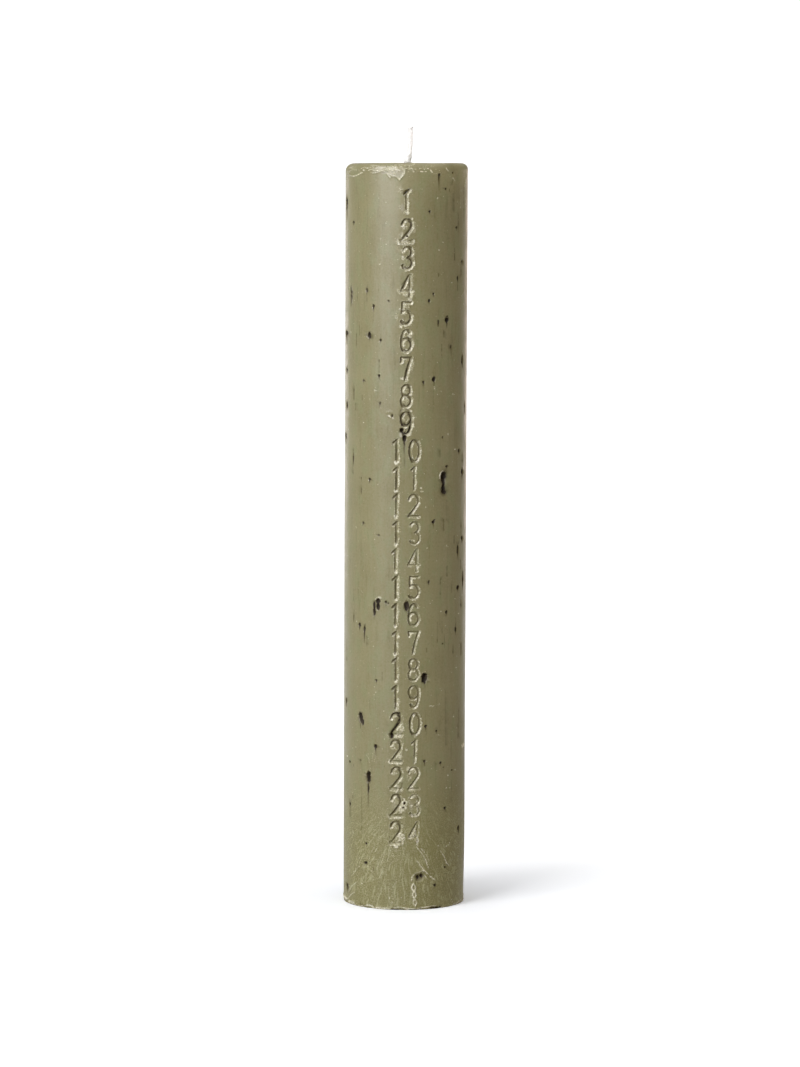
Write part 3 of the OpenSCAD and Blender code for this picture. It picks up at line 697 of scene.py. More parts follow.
def cell_levels(along, z, r):
    """How finely to cut each base cell, as parts a side, from its middle: the figures, the pits and
    the strokes in view are finest."""
    level = np.ones(len(z), int)
    half = BASE_CELL / 2
    wall = r > RADIUS - RIM_R - 0.5
    front = wall & (np.abs(along) < FRONT_SHARE * ROUND)
    level[wall & (z > HEIGHT - RIM_BAND) & (r > RADIUS - RIM_R)] = 2
    level[front & (z > HEIGHT - RIM_BAND)] = 3
    level[wall & (z < FOOT_BAND)] = 3
    level[front & (z < half)] = FINE
    strip = wall & (np.abs(along - DRIFT / 2) < STRIP_HALF)
    level[strip & (z > STRIP_SPAN[0]) & (z < STRIP_SPAN[1])] = 2

    def finest(lines, reach):
        level[wall & (from_lines(along, z, lines)[0] < reach)] = FINE

    def beside(place, reach):
        return np.abs(round_gap(along, place)) < reach

    for figure, place, height, _, _ in PRESSED:
        finest(figure_lines(figure, place, height), FIGURE_REACH + half)
    for place, height, half_w, half_h, _, tail in ALL_PITS_AND_SHADE:
        seen = abs(place) < ROUND / 4
        reach = 0.8 * half
        middle = beside(place, half_w + reach) & (np.abs(z - height) < half_h + reach)
        lift(level, wall & middle, FINE if seen else 2)
        below = (z < height) & (z > height - half_h - tail)
        lift(level, wall & beside(place, half + CELL_SLACK) & below, 3 if seen else 2)
    for line, width, _, _ in ALL_STROKES:
        seen = abs(line[0][0]) < ROUND / 4
        finest([line], width * seen_widening(line[0][0]) + (1.2 if seen else 0.6) * half)
    for line, width, _, _ in ALL_SMEARS_AND_SHADE:
        finest([line], width + half)
    for line, _ in ALL_SCRATCHES:
        finest([line], half + CELL_SLACK)
    for x, y, _ in SPECKS:
        place, height = on_wax(x, y)
        level[wall & beside(place, half + CELL_SLACK) & (np.abs(z - height) < half + CELL_SLACK)] = FINE
    for x, y, half_w, half_h, _ in BRUISES_AND_HIGHLIGHTS + MILKY:
        place, height = on_wax(x, y)
        near = beside(place, widening(place) * half_w / PIXELS_PER_MM + half)
        lift(level, wall & near & (np.abs(z - height) < half_h / PIXELS_PER_MM + half), 3)
    return level


def skin_grid(rows):
    """The skin's faces as lists of grid points, numbered row by row, with the numbers in use."""
    base_rows = (len(rows) - 1) // FINE
    total = COLUMNS * FINE
    step_round = ROUND / total
    base_i, base_j = np.meshgrid(np.arange(COLUMNS), np.arange(base_rows))
    base_i, base_j = base_i.ravel(), base_j.ravel()
    middle = base_j * FINE + FINE // 2
    along = ((base_i + 0.5) * FINE) * step_round - ROUND / 2
    level = cell_levels(along, rows[middle, 1], rows[middle, 0])
    cells = []
    for parts in PARTS:
        step = FINE // parts
        chosen = level == parts
        for a, b in itertools.product(range(parts), repeat=2):
            corner = np.stack([base_i[chosen] * FINE + a * step, base_j[chosen] * FINE + b * step], 1)
            cells.append((step, corner))
    used = np.zeros((len(rows), total), bool)
    for step, corner in cells:
        for a, b in ((0, 0), (step, 0), (step, step), (0, step)):
            used[corner[:, 1] + b, (corner[:, 0] + a) % total] = True
    faces = []
    for step, corner in cells:
        i, j = corner[:, 0], corner[:, 1]
        ring = [(k, 0) for k in range(step)] + [(step, k) for k in range(step)]
        ring += [(step - k, step) for k in range(step)] + [(0, step - k) for k in range(step)]
        numbers = np.stack([(j + b) * total + (i + a) % total for a, b in ring], 1)
        there = np.stack([used[j + b, (i + a) % total] for a, b in ring], 1)
        faces.extend(row[keep].tolist() for row, keep in zip(numbers, there))
    last = len(rows) - 1
    faces.append([i for i in range(total - 1, -1, -1) if used[0, i]])
    faces.append([last * total + i for i in range(total) if used[last, i]])
    return faces, np.flatnonzero(used.ravel())


# How much deeper the units were pressed at their left than at their right, which way the punches
# dragged the wax, and how far from its middle a figure changes the wax, aside and up
LEAN = 0.7
DRAG = (0.77, -0.64)
FIGURE_NEAR = (5.5, 8)
# What a figure has without any press, and what a full press adds: the steep and the easy half of the
# groove, its depth, how pale its bruises and painted highlights are and half the width of its line of
# painted shade; then how dark that is
STEEP_HALF, EASY_HALF, GROOVE_DEEP = (0.27, 0.2), (0.32, 0.66), (0.24, 0.48)
BRUISE_AND_HIGHLIGHT_PALE, SHADE_HALF = (0.62, 0.3), (0.14, 0.22)
SHADE_DARK = 0.59
# Half the width of a groove's lip and its height: at the steep side, and what the dragged side adds
LIP_HALF, LIP_HIGH = (0.16, 0.22), (0.05, 0.08)


def pressed(sizes, press):
    """A size that grows with how deep the figure was pressed."""
    return sizes[0] + sizes[1] * press


def figure_relief(along, z, wall):
    """The pressed figures at each point: the groove's depth, the lip's height, how pale the point is, from
    bruises and from a painted highlight on the easy wall, which faces the light from the upper left, and
    how dark, from painted shade along the steep wall, which faces away from it. The punches leaned, so
    they dragged the wax to the lower right."""
    depth, lip, pale, dark = (np.zeros(len(z)) for _ in range(4))
    plane = np.stack([along, z], 1)
    ragged = noise(plane, 0.9, 5, 2)
    patches = noise(plane, 1.7, 12, 2)
    uneven = noise(plane, 3.2, 13)
    wedge_line = [(x * LINE_W, y * LINE_H) for x, y in FLAG_WEDGE]
    draw = np.random.default_rng(7)
    for figure, place, height, press, leans in PRESSED:
        tilt = math.radians(draw.uniform(-1.5, 1.5))
        shift = draw.uniform(-0.1, 0.1, 2)
        u, v = along - place - shift[0], z - height - shift[1]
        near = np.flatnonzero((np.abs(u) < FIGURE_NEAR[0]) & (np.abs(v) < FIGURE_NEAR[1]) & wall)
        u, v = u[near], v[near]
        x, y = u * math.cos(tilt) + v * math.sin(tilt), v * math.cos(tilt) - u * math.sin(tilt)
        off, off_x, off_y = from_lines(x, y, figure_lines(figure, 0, 0))
        x, y = x / LINE_W, y / LINE_H
        side = (DRAG[0] * off_x + DRAG[1] * off_y) / np.maximum(off, 1e-6)
        dragged = smooth(-0.5, 0.7, side)
        bar = (figure == 2) & (not leans) & (y < -0.42) | (figure == 4) & ((y < -0.14) | (x > 0.2))
        if figure == 2:
            dragged = np.maximum(dragged, smooth(-0.36, -0.44, y) * (0.4 if leans else 1))
        lean = 1 - (LEAN if leans else 0) * np.clip(x, -0.6, 0.6)
        broken = 0.35 + 0.65 * smooth(-0.4, 0.25, patches[near])

        # The groove, steep at its upper left and easy where the wax was dragged
        steep, easy = pressed(STEEP_HALF, press), pressed(EASY_HALF, press)
        half = (steep + (easy - steep) * dragged) * (1 + 0.14 * ragged[near] + 0.14 * uneven[near])
        t = np.clip(off / half, 0, 1)
        deep = pressed(GROOVE_DEEP, press) * (1 + 0.3 * uneven[near]) * lean
        lift(depth, near, deep * (1 - t ** (3 - 1.8 * dragged)))

        # The lip beside it
        past = np.maximum(0, off - half)
        wide = LIP_HALF[0] + LIP_HALF[1] * dragged * press
        ridge = bell(past - 0.5 * wide, wide) * (off > 0.8 * half)
        high = LIP_HIGH[0] + LIP_HIGH[1] * dragged
        lift(lip, near, ridge * high * press * broken)

        # Bruised wax on the easy wall and round the groove, partly painted highlight where the easy wall
        # faces the light, and the groove's pale edge
        easy_wall = dragged * smooth(0.25, 0.6, t) * (off < half) * np.where(bar, 0.45, 1)
        around = np.exp(-past / (0.24 + 0.7 * press * press * dragged)) * (off >= 0.9 * half)
        around = around * (0.42 + 0.58 * dragged)
        edge = (0.84 if leans else 0.78) * bell(past - 0.16, 0.15) * (off > half) * (0.6 + 0.4 * broken)
        bruise_and_highlight = np.maximum(around, easy_wall) * pressed(BRUISE_AND_HIGHLIGHT_PALE, press) * broken
        lift(pale, near, np.maximum(bruise_and_highlight, edge))

        # Painted shade: a dark line along the foot of the steep wall, which faces away from the light, and
        # a dark wedge under a one's flag
        across = off * np.clip(1.6 * side, -1, 1)
        line_w = pressed(SHADE_HALF, press) * (1 + 0.35 * uneven[near] + 0.3 * ragged[near])
        shaded = bell(across + 0.13, line_w) * (off < 1.5 * half) * (0.75 + 0.25 * broken)
        lift(dark, near, SHADE_DARK * press * lean * shaded * np.where(bar, 0.4, 1))
        if figure in (1, FIRST_FIGURE) and not leans:
            wedge = bell(from_lines(x * LINE_W, y * LINE_H, [wedge_line])[0], FLAG_R)
            lift(dark, near, FLAG_DARK * wedge)
            pale[near] *= 1 - 0.8 * wedge
    return depth, lip, pale, dark


# How far marks stand out of the wax, in millimetres: crumbs on pale wax, the listed bruises and painted
# highlights by their crumbs and as a whole, specks, the rims of pits, and the foot's edge by its crumbs
# and as a whole
CRUMBS_HIGH, BRUISE_ROUGH, BRUISE_HIGH, SPECK_HIGH = 0.09, 0.08, 0.03, 0.05
PIT_RIM_HIGH, EDGE_ROUGH, EDGE_HIGH = 0.05, 0.10, 0.08
# How deep a full scratch and the tail of a pit are, in millimetres
SCRATCH_DEEP, TAIL_DEEP = 0.12, 0.16
# How pale the painted highlight on the upper rims of pits and the foot's edge are, and how dark a
# tail and the painted shade along the foot's lowest line
PIT_RIM_HIGHLIGHT, EDGE_PALE, TAIL_DARK, FOOT_LINE_DARK = 0.4, 0.95, 0.95, 0.5


class Surface:
    """The skin's points, and at each how far it stands out and its masks: pale for lips, bruises and
    painted highlights, dark for pits, scratches and painted shade, and milky for clouded patches."""

    def __init__(self, along, z, wall):
        self.along, self.z, self.wall = along, z, wall
        self.plane = np.stack([along, z], 1)
        self.crumbs = noise(self.plane, 0.5, 21, 2)
        self.clumps = noise(self.plane, 1.5, 22, 2)
        depth, lip, self.pale, self.dark = figure_relief(along, z, wall)
        self.milky = np.zeros(len(z))
        self.out = lip - depth + CRUMBS_HIGH * self.crumbs * self.pale

    def near_pixel(self, x, y, half_w, half_h):
        """Points near a patch that the photograph shows at pixel x, y, and their distance from its
        middle as a share of its half sizes, which are in pixels."""
        place, height = on_wax(x, y)
        u = round_gap(self.along, place) * PIXELS_PER_MM / widening(place)
        v = (self.z - height) * PIXELS_PER_MM
        near = np.flatnonzero((np.abs(u) < 2 * half_w + 2) & (np.abs(v) < 2 * half_h + 2))
        return near, np.hypot(u[near] / half_w, v[near] / half_h)

    def near_line(self, line, reach, wide=1):
        """Points of the wall within reach of a line, and their distance from it, in which lengths
        round the wax are divided by how wide it is seen."""
        thin = [(place / wide, height) for place, height in line]
        off = from_lines(self.along / wide, self.z, [thin])[0]
        near = np.flatnonzero((off < reach) & self.wall)
        return near, off[near]


def add_patches(skin):
    """Bruised patches and painted highlights, milky patches, and specks."""
    for x, y, half_w, half_h, strength in BRUISES_AND_HIGHLIGHTS:
        near, t = skin.near_pixel(x, y, half_w + 0.5, half_h + 0.5)
        patch = smooth(1.3, 0.45, t + 0.3 * skin.clumps[near])
        lift(skin.pale, near, strength * patch)
        rough = BRUISE_ROUGH * patch * skin.crumbs[near]
        skin.out[near] += rough + BRUISE_HIGH * strength * patch
    for x, y, half_w, half_h, strength in MILKY:
        near, t = skin.near_pixel(x, y, half_w, half_h)
        lift(skin.milky, near, strength * smooth(1.25, 0.7, t + 0.25 * skin.clumps[near]))
    for x, y, bright in SPECKS:
        near, t = skin.near_pixel(x, y, SPECK_R * PIXELS_PER_MM, SPECK_R * PIXELS_PER_MM)
        lift(skin.pale, near, bright * bell(t, 1))
        skin.out[near] += SPECK_HIGH * bright * bell(t, 1)


def add_strokes(skin):
    """Pale strokes, which stand out of the wax."""
    for line, width, high, strength in ALL_STROKES:
        near, off = skin.near_line(line, 4 * width + 0.3, seen_widening(line[0][0]))
        clumps = 1 + 0.3 * skin.clumps[near]
        ridge = bell(off, width * (1 + 0.3 * skin.crumbs[near])) * clumps
        skin.out[near] += high * ridge
        lift(skin.pale, near, strength * ridge)


def add_scratches(skin):
    """Thin dark scratches up the wall."""
    for line, faint in ALL_SCRATCHES:
        strength = SCRATCH_DARK * faint
        wide = SCRATCH_R * widening(line[0][0])
        near, off = skin.near_line(line, 2.5 * wide)
        width = wide * (0.8 + 0.4 * noise(skin.plane[near], (5, 1.4), 35))
        groove = bell(off, width) * (0.75 + 0.5 * noise(skin.plane[near], (5, 1.1), 36))
        lift(skin.dark, near, strength * groove)
        skin.out[near] -= SCRATCH_DEEP * strength * groove


def add_smears_and_shade(skin):
    """Dark smears and painted shade, which also cover what is pale."""
    for line, width, deep, strength in ALL_SMEARS_AND_SHADE:
        near, off = skin.near_line(line, 3 * width)
        spread = bell(off, width * (1 + 0.4 * skin.clumps[near])) * (1 + 0.35 * skin.crumbs[near])
        skin.out[near] -= deep * spread
        lift(skin.dark, near, strength * spread)
        skin.pale[near] *= 1 - 0.8 * np.clip(spread, 0, 1)


def add_pit_and_rim_highlight(skin, number, place, height, half_w, half_h, deep, tail):
    """A dark pit with a low rim, which is pale above the pit as a painted highlight, and the tail
    that runs down from it.
    """
    u, v = round_gap(skin.along, place), skin.z - height
    beside = (np.abs(u) < 2 * half_w + 0.8) & skin.wall
    near = np.flatnonzero(beside & (v < 2 * half_h + 0.8) & (v > -half_h - tail - 1))
    u, v, plane = u[near], v[near], skin.plane[near]
    t = np.hypot(u / half_w, v / half_h) / (1 + 0.3 * noise(plane, (0.6, 1.1), 40 + number, 2))
    hole = np.sqrt(np.clip(1 - t**2, 0, 1))
    mottle = 0.92 + 0.35 * noise(plane, (0.4, 0.9), 240 + number)
    skin.out[near] -= DEEPER * deep * hole * mottle
    lift(skin.dark, near, smooth(1.5, 0.5, t) * mottle * min(1, 0.42 + 0.9 * deep))
    rim = bell(t - 1.35, 0.3) * smooth(0.35, 0.9, half_w)
    skin.out[near] += PIT_RIM_HIGH * rim
    # Painted highlight: the rim is pale only above the pit, where it faces the light
    pale = skin.pale[near] * smooth(0.8, 1.3, t)
    skin.pale[near] = np.maximum(pale, PIT_RIM_HIGHLIGHT * rim * (v > 0))
    if tail:
        down = np.clip(-v / (half_h + tail), 0, 1)
        width = TAIL_R * seen_widening(place) + 0.5 * half_w * (1 - down) ** 2
        strands = 0.8 + 0.5 * noise(plane, (0.35, 3), 440 + number)
        line = bell(u, width) * (v < 0) * (1 - down) ** 0.6 * strands
        skin.out[near] -= TAIL_DEEP * line * (1 - hole)
        lift(skin.dark, near, TAIL_DARK * line)


def add_foot_edge(skin):
    """The pale and ragged edge of the foot, and painted shade along its lowest line, where it meets the
    floor.
    """
    ragged = noise(skin.plane, (2.4, 1.2), 31, 2)
    edge = skin.wall * smooth(0.8, 0.35, skin.z + 0.3 * skin.clumps)
    gaps = smooth(-0.3, 0.15, ragged)
    skin.pale = np.maximum(skin.pale, EDGE_PALE * edge * gaps)
    # Painted shade where the foot meets the floor
    lowest = skin.wall * smooth(0.25, 0.05, skin.z)
    skin.dark = np.maximum(skin.dark, FOOT_LINE_DARK * lowest)
    skin.out += EDGE_ROUGH * edge * (skin.crumbs + ragged) + EDGE_HIGH * edge * gaps


def marked_surface(along, z, wall):
    """The skin's points with the figures and every mark."""
    skin = Surface(along, z, wall)
    add_patches(skin)
    add_strokes(skin)
    add_scratches(skin)
    add_smears_and_shade(skin)
    for number, pit in enumerate(ALL_PITS_AND_SHADE):
        add_pit_and_rim_highlight(skin, number, *pit)
    add_foot_edge(skin)
    return skin


def foot_balls():
    """Balls that bite chips out of the foot's edge: the middle and the radius."""
    balls = []
    draw = np.random.default_rng(63)
    for turn in np.linspace(0, 2 * math.pi, FOOT_CHIPS, endpoint=False):
        half, deep = draw.uniform(0.5, 1.6), draw.uniform(0.15, 0.5)
        ball_r = (half * half + deep * deep) / (2 * deep)
        reach = RADIUS - deep + ball_r
        turned = turn + draw.uniform(-0.05, 0.05)
        height = draw.uniform(-0.6, 0.4)
        balls.append((reach * math.sin(turned), -reach * math.cos(turned), height, ball_r))
    return balls


def bitten(points, wall, grain):
    """The points, with those of the wall that lie in a foot ball moved out to its rough surface."""
    for x, y, height, ball_r in foot_balls():
        away = points - (x, y, height)
        gap = np.linalg.norm(away, axis=1)
        rough_r = ball_r + 0.07 * grain
        inside = (gap < rough_r) & wall
        points[inside] = (x, y, height) + away[inside] * (rough_r / gap)[inside, None]
    return points


# Waves of the wall and the top, wide ones and small ones, and the top's hollows, in millimetres
WAVES_WIDE, WAVES_SMALL, HOLLOWS = 0.10, 0.018, 0.12


def make_skin():
    """The wax pillar's surface as one closed mesh, with its masks as vertex attributes."""
    rows, follow, corners = skin_profile()
    faces, used = skin_grid(rows)
    total = COLUMNS * FINE
    j, i = used // total, used % total
    along = i * ROUND / total - ROUND / 2
    turn = along / RADIUS
    r, z, out_r, out_z = rows[j].T
    c, s = np.sin(turn), -np.cos(turn)
    base = np.stack([r * c, r * s, z], 1)
    normal = np.stack([out_r * c, out_r * s, out_z], 1)

    wall_start = corners[3] + FACE_ROWS * FINE
    wall_end = corners[4] - (TOP_ROWS + CLIMB_ROWS) * FINE
    wall = (j >= wall_start) & (j < wall_end)
    top = (j >= wall_end) & (j < corners[4] - CLIMB_ROWS * FINE)
    surface = marked_surface(along, z, wall)
    out = np.where(wall, surface.out, 0) * smooth(0, 0.4, z)
    right = np.maximum(0, np.sin(turn))
    out = out + np.where(wall | top, SWELL + SWELL_RIGHT * right, 0) * out_r * smooth(0, 30, z)
    out = out + CORNER * 2 * out_r * np.maximum(0, out_z) * smooth(0.4, 0.9, right)
    waves = WAVES_WIDE * noise(base, (30, 30, 70), 1, 2) + WAVES_SMALL * noise(base, (5, 5, 16), 2, 2)
    flat_r = RADIUS - RIM_R
    hollow = HOLLOWS * noise(base, 6, 3, 3) * smooth(flat_r + 1, flat_r - 2, r)
    out = out + np.where(wall | top, (waves + np.where(top, hollow, 0)) * smooth(0, 2, z), 0)
    points = bitten(base + normal * out[:, None], wall, noise(base, 0.7, 9, 2))
    points[:, 2] = np.maximum(points[:, 2], np.where(wall, 0, points[:, 2]))
    points[:, 0] += WICK_X * follow[j]

    compress = np.full(len(rows) * total, -1)
    compress[used] = np.arange(len(used))
    skin = mesh_object("wax_skin", points, [compress[face].tolist() for face in faces])
    mesh = skin.data
    for name in ("pale", "dark", "milky"):
        layer = mesh.attributes.new(name, "FLOAT", "POINT")
        layer.data.foreach_set("value", getattr(surface, name).astype(np.float32))
    ends = np.empty(2 * len(mesh.edges), np.int32)
    mesh.edges.foreach_get("vertices", ends)
    edge_rows = j[ends.reshape(-1, 2)]
    sharp = np.isin(edge_rows[:, 0], corners) & (edge_rows[:, 0] == edge_rows[:, 1])
    mesh.attributes.new("sharp_edge", "BOOLEAN", "EDGE").data.foreach_set("value", sharp)
    mesh.validate()
    mesh.update()
    return skin


# Node trees

class Value:
    """One value in a node tree. A sum of values adds the node that works it out."""

    def __init__(self, tree, socket):
        self.tree, self.socket = tree, socket

    def __add__(self, other):
        return math_of("ADD", self, other)

    def __sub__(self, other):
        return math_of("SUBTRACT", self, other)

    def __rsub__(self, other):
        return math_of("SUBTRACT", other, self)

    def __mul__(self, other):
        return math_of("MULTIPLY", self, other)

    __rmul__ = __mul__

    def __truediv__(self, other):
        return math_of("DIVIDE", self, other)

    def at_least(self, other):
        return math_of("MAXIMUM", self, other)

    def span(self, low, high, to_low=0.0, to_high=1.0, **settings):
        """The value's span moved to another, and held within it."""
        sockets = {"Value": self, "From Min": low, "From Max": high, "To Min": to_low, "To Max": to_high}
        return value(self.tree, "ShaderNodeMapRange", "Result", sockets, **settings)


def node(tree, kind, inputs=None, **settings):
    """Adds a node, sets its fields and its sockets, and links sockets that are given a value."""
    made = tree.nodes.new(kind)
    for key, setting in settings.items():
        setattr(made, key, setting)
    for key, given in (inputs or {}).items():
        if isinstance(given, Value):
            tree.links.new(given.socket, made.inputs[key])
        else:
            made.inputs[key].default_value = given
    return made


def value(tree, kind, output, inputs=None, **settings):
    """One output of a new node."""
    return Value(tree, node(tree, kind, inputs, **settings).outputs[output])


def math_of(operation, first, second):
    """One sum of two values, one of which may be a number."""
    tree = (first if isinstance(first, Value) else second).tree
    return value(tree, "ShaderNodeMath", 0, {0: first, 1: second}, operation=operation)


def parts_of(whole, kind="ShaderNodeSeparateXYZ", socket="Vector"):
    """The three parts of a vector or a colour."""
    return [Value(whole.tree, part) for part in node(whole.tree, kind, {socket: whole}).outputs]


def ray(tree, kind):
    """1 for rays of a kind and 0 for others."""
    return value(tree, "ShaderNodeLightPath", f"Is {kind} Ray")


def new_material(name, **constants):
    """A material with its Principled shader, whose constant sockets are set directly."""
    material = bpy.data.materials.new(name)
    material.use_nodes = True
    shader = material.node_tree.nodes["Principled BSDF"]
    for key, value in constants.items():
        shader.inputs[key.replace("_", " ")].default_value = value
    return material, material.node_tree, shader


def object_place(tree, stretch=(1, 1, 1)):
    """The surface's own place in metres, squeezed along each axis."""
    place = value(tree, "ShaderNodeTexCoord", "Object")
    return value(tree, "ShaderNodeMapping", "Vector", {"Vector": place, "Scale": stretch})


def noise_of(place, size, detail=3.0, rough=0.5):
    """Noise from 0 to 1 whose features have a size in millimetres."""
    sockets = {"Vector": place, "Scale": 1 / (size * MM), "Detail": detail, "Roughness": rough}
    return value(place.tree, "ShaderNodeTexNoise", "Fac", sockets)


def mix(share, first, second):
    """A blend of two colours by a share."""
    first, second = (part if isinstance(part, Value) else (*part, 1) for part in (first, second))
    return value(share.tree, "ShaderNodeMix", 2, {0: share, 6: first, 7: second}, data_type="RGBA")


def mask(tree, name):
    """A vertex attribute's value."""
    return value(tree, "ShaderNodeAttribute", "Fac", attribute_name=name)


def dress(shader, colour, rough, bumps, strength, high):
    """Links a shader's colour, roughness and bumps, which are so many millimetres high."""
    sockets = {"Strength": strength, "Distance": high * MM, "Height": bumps}
    normal = value(colour.tree, "ShaderNodeBump", "Normal", sockets)
    for key, given in (("Base Color", colour), ("Roughness", rough), ("Normal", normal)):
        colour.tree.links.new(given.socket, shader.inputs[key])


# The wax's own colour, its tints in clouds, blotches, streaks and at the foot, then frost, the marks'
# bruises and pale wax, which also paint highlights, milky wax, and the dark of streaks and pits, which
# also paints shade
WAX = (0.262, 0.237, 0.119)
WAX_DEEP = (0.232, 0.208, 0.100)
WAX_GREEN = (0.233, 0.238, 0.113)
WAX_GREY = (0.30, 0.272, 0.168)
WAX_FOOT = (0.230, 0.210, 0.084)
WAX_FROST = (0.43, 0.415, 0.235)
WAX_BRUISE_AND_HIGHLIGHT = (0.43, 0.40, 0.255)
WAX_PALE = (0.76, 0.72, 0.56)
WAX_MILKY = (0.47, 0.43, 0.345)
WAX_STREAK_AND_SHADE = (0.080, 0.061, 0.016)
WAX_DARK = (0.022, 0.013, 0.002)
# Bleached cotton, where it is bare and where it is rosy, and tin, where it is bright and where dull
COTTON, COTTON_ROSY = ((0.93, 0.905, 0.90), (0.96, 0.945, 0.93)), (0.90, 0.80, 0.79)
TIN, TIN_DULL = (0.62, 0.62, 0.61), (0.46, 0.455, 0.44)
# Heights where the frost of the foot begins and where it is full
FROST_TOP, FROST_FULL = 56, 26
# The frost's feathers: the pixel that they spread from, how wide one is, as an angle in radians, and in
# millimetres how long, how far it bends aside and how far it reaches in depth
FAN = (404, 772)
FEATHER_TURN, FEATHER_LENGTH, FEATHER_BEND, FEATHER_DEPTH = 0.016, 5, 5, 1.8
# Bright specks, fine specks and pocks: their cells' size in millimetres, the share of cells that hold
# one, and the smallest and largest radius as a share of a cell
SPECK_DOTS, FINE_DOTS, POCK_DOTS = (2.1, 0.26, 0.05, 0.12), (1.1, 0.10, 0.10, 0.22), (4.2, 0.14, 0.04, 0.10)


def voronoi_dots(place, size, share, small, large):
    """Dots that a share of cells of a size in millimetres holds, from small to large of the cell."""
    cells = node(place.tree, "ShaderNodeTexVoronoi", {"Vector": place, "Scale": 1 / (size * MM)})
    distance, colour = (Value(place.tree, cells.outputs[key]) for key in ("Distance", "Color"))
    chosen, random, _ = parts_of(colour, "ShaderNodeSeparateColor", "Color")
    inside = 1.0 - distance / random.span(0, 1, small, large)
    return inside.span(0, 0.35) * math_of("LESS_THAN", chosen, share)


def foot_frost(place, height):
    """Frost at the foot, from 0 to 1: feathers that spread out and down from FAN, and speckles. Also the
    gaps between the speckles, where shade is painted."""
    tree = place.tree
    along, top = on_wax(*FAN)
    x, y, z = parts_of(place)
    aside = x - along * MM + (noise_of(place, 11, 1) - 0.5) * (FEATHER_BEND * MM)
    below = top * MM - z
    flat = value(tree, "ShaderNodeCombineXYZ", "Vector", {"X": aside, "Y": below})
    away = value(tree, "ShaderNodeVectorMath", "Value", {0: flat}, operation="LENGTH")
    fan = value(tree, "ShaderNodeCombineXYZ", "Vector", {
        "X": math_of("ARCTAN2", aside, below) / FEATHER_TURN,
        "Y": away / (FEATHER_LENGTH * MM),
        "Z": y / (FEATHER_DEPTH * MM),
    })
    # The fan is measured in feathers and not in metres, so one unit of it is the noise's size
    feathers = noise_of(fan, 1 / MM, 2, 0.55)
    speckles = noise_of(place, 0.52, 2, 0.65)
    patches = noise_of(place, 6, 2)
    lines = feathers.span(0.54, 0.64) * speckles.span(0.3, 0.55, 0.25, 1)
    dots = speckles.span(0.51, 0.63) * patches.span(0.35, 0.65, 0.25, 0.9)
    zone = height.span(FROST_TOP * MM, FROST_FULL * MM)
    return lines.at_least(dots) * zone, speckles.span(0.47, 0.35) * zone


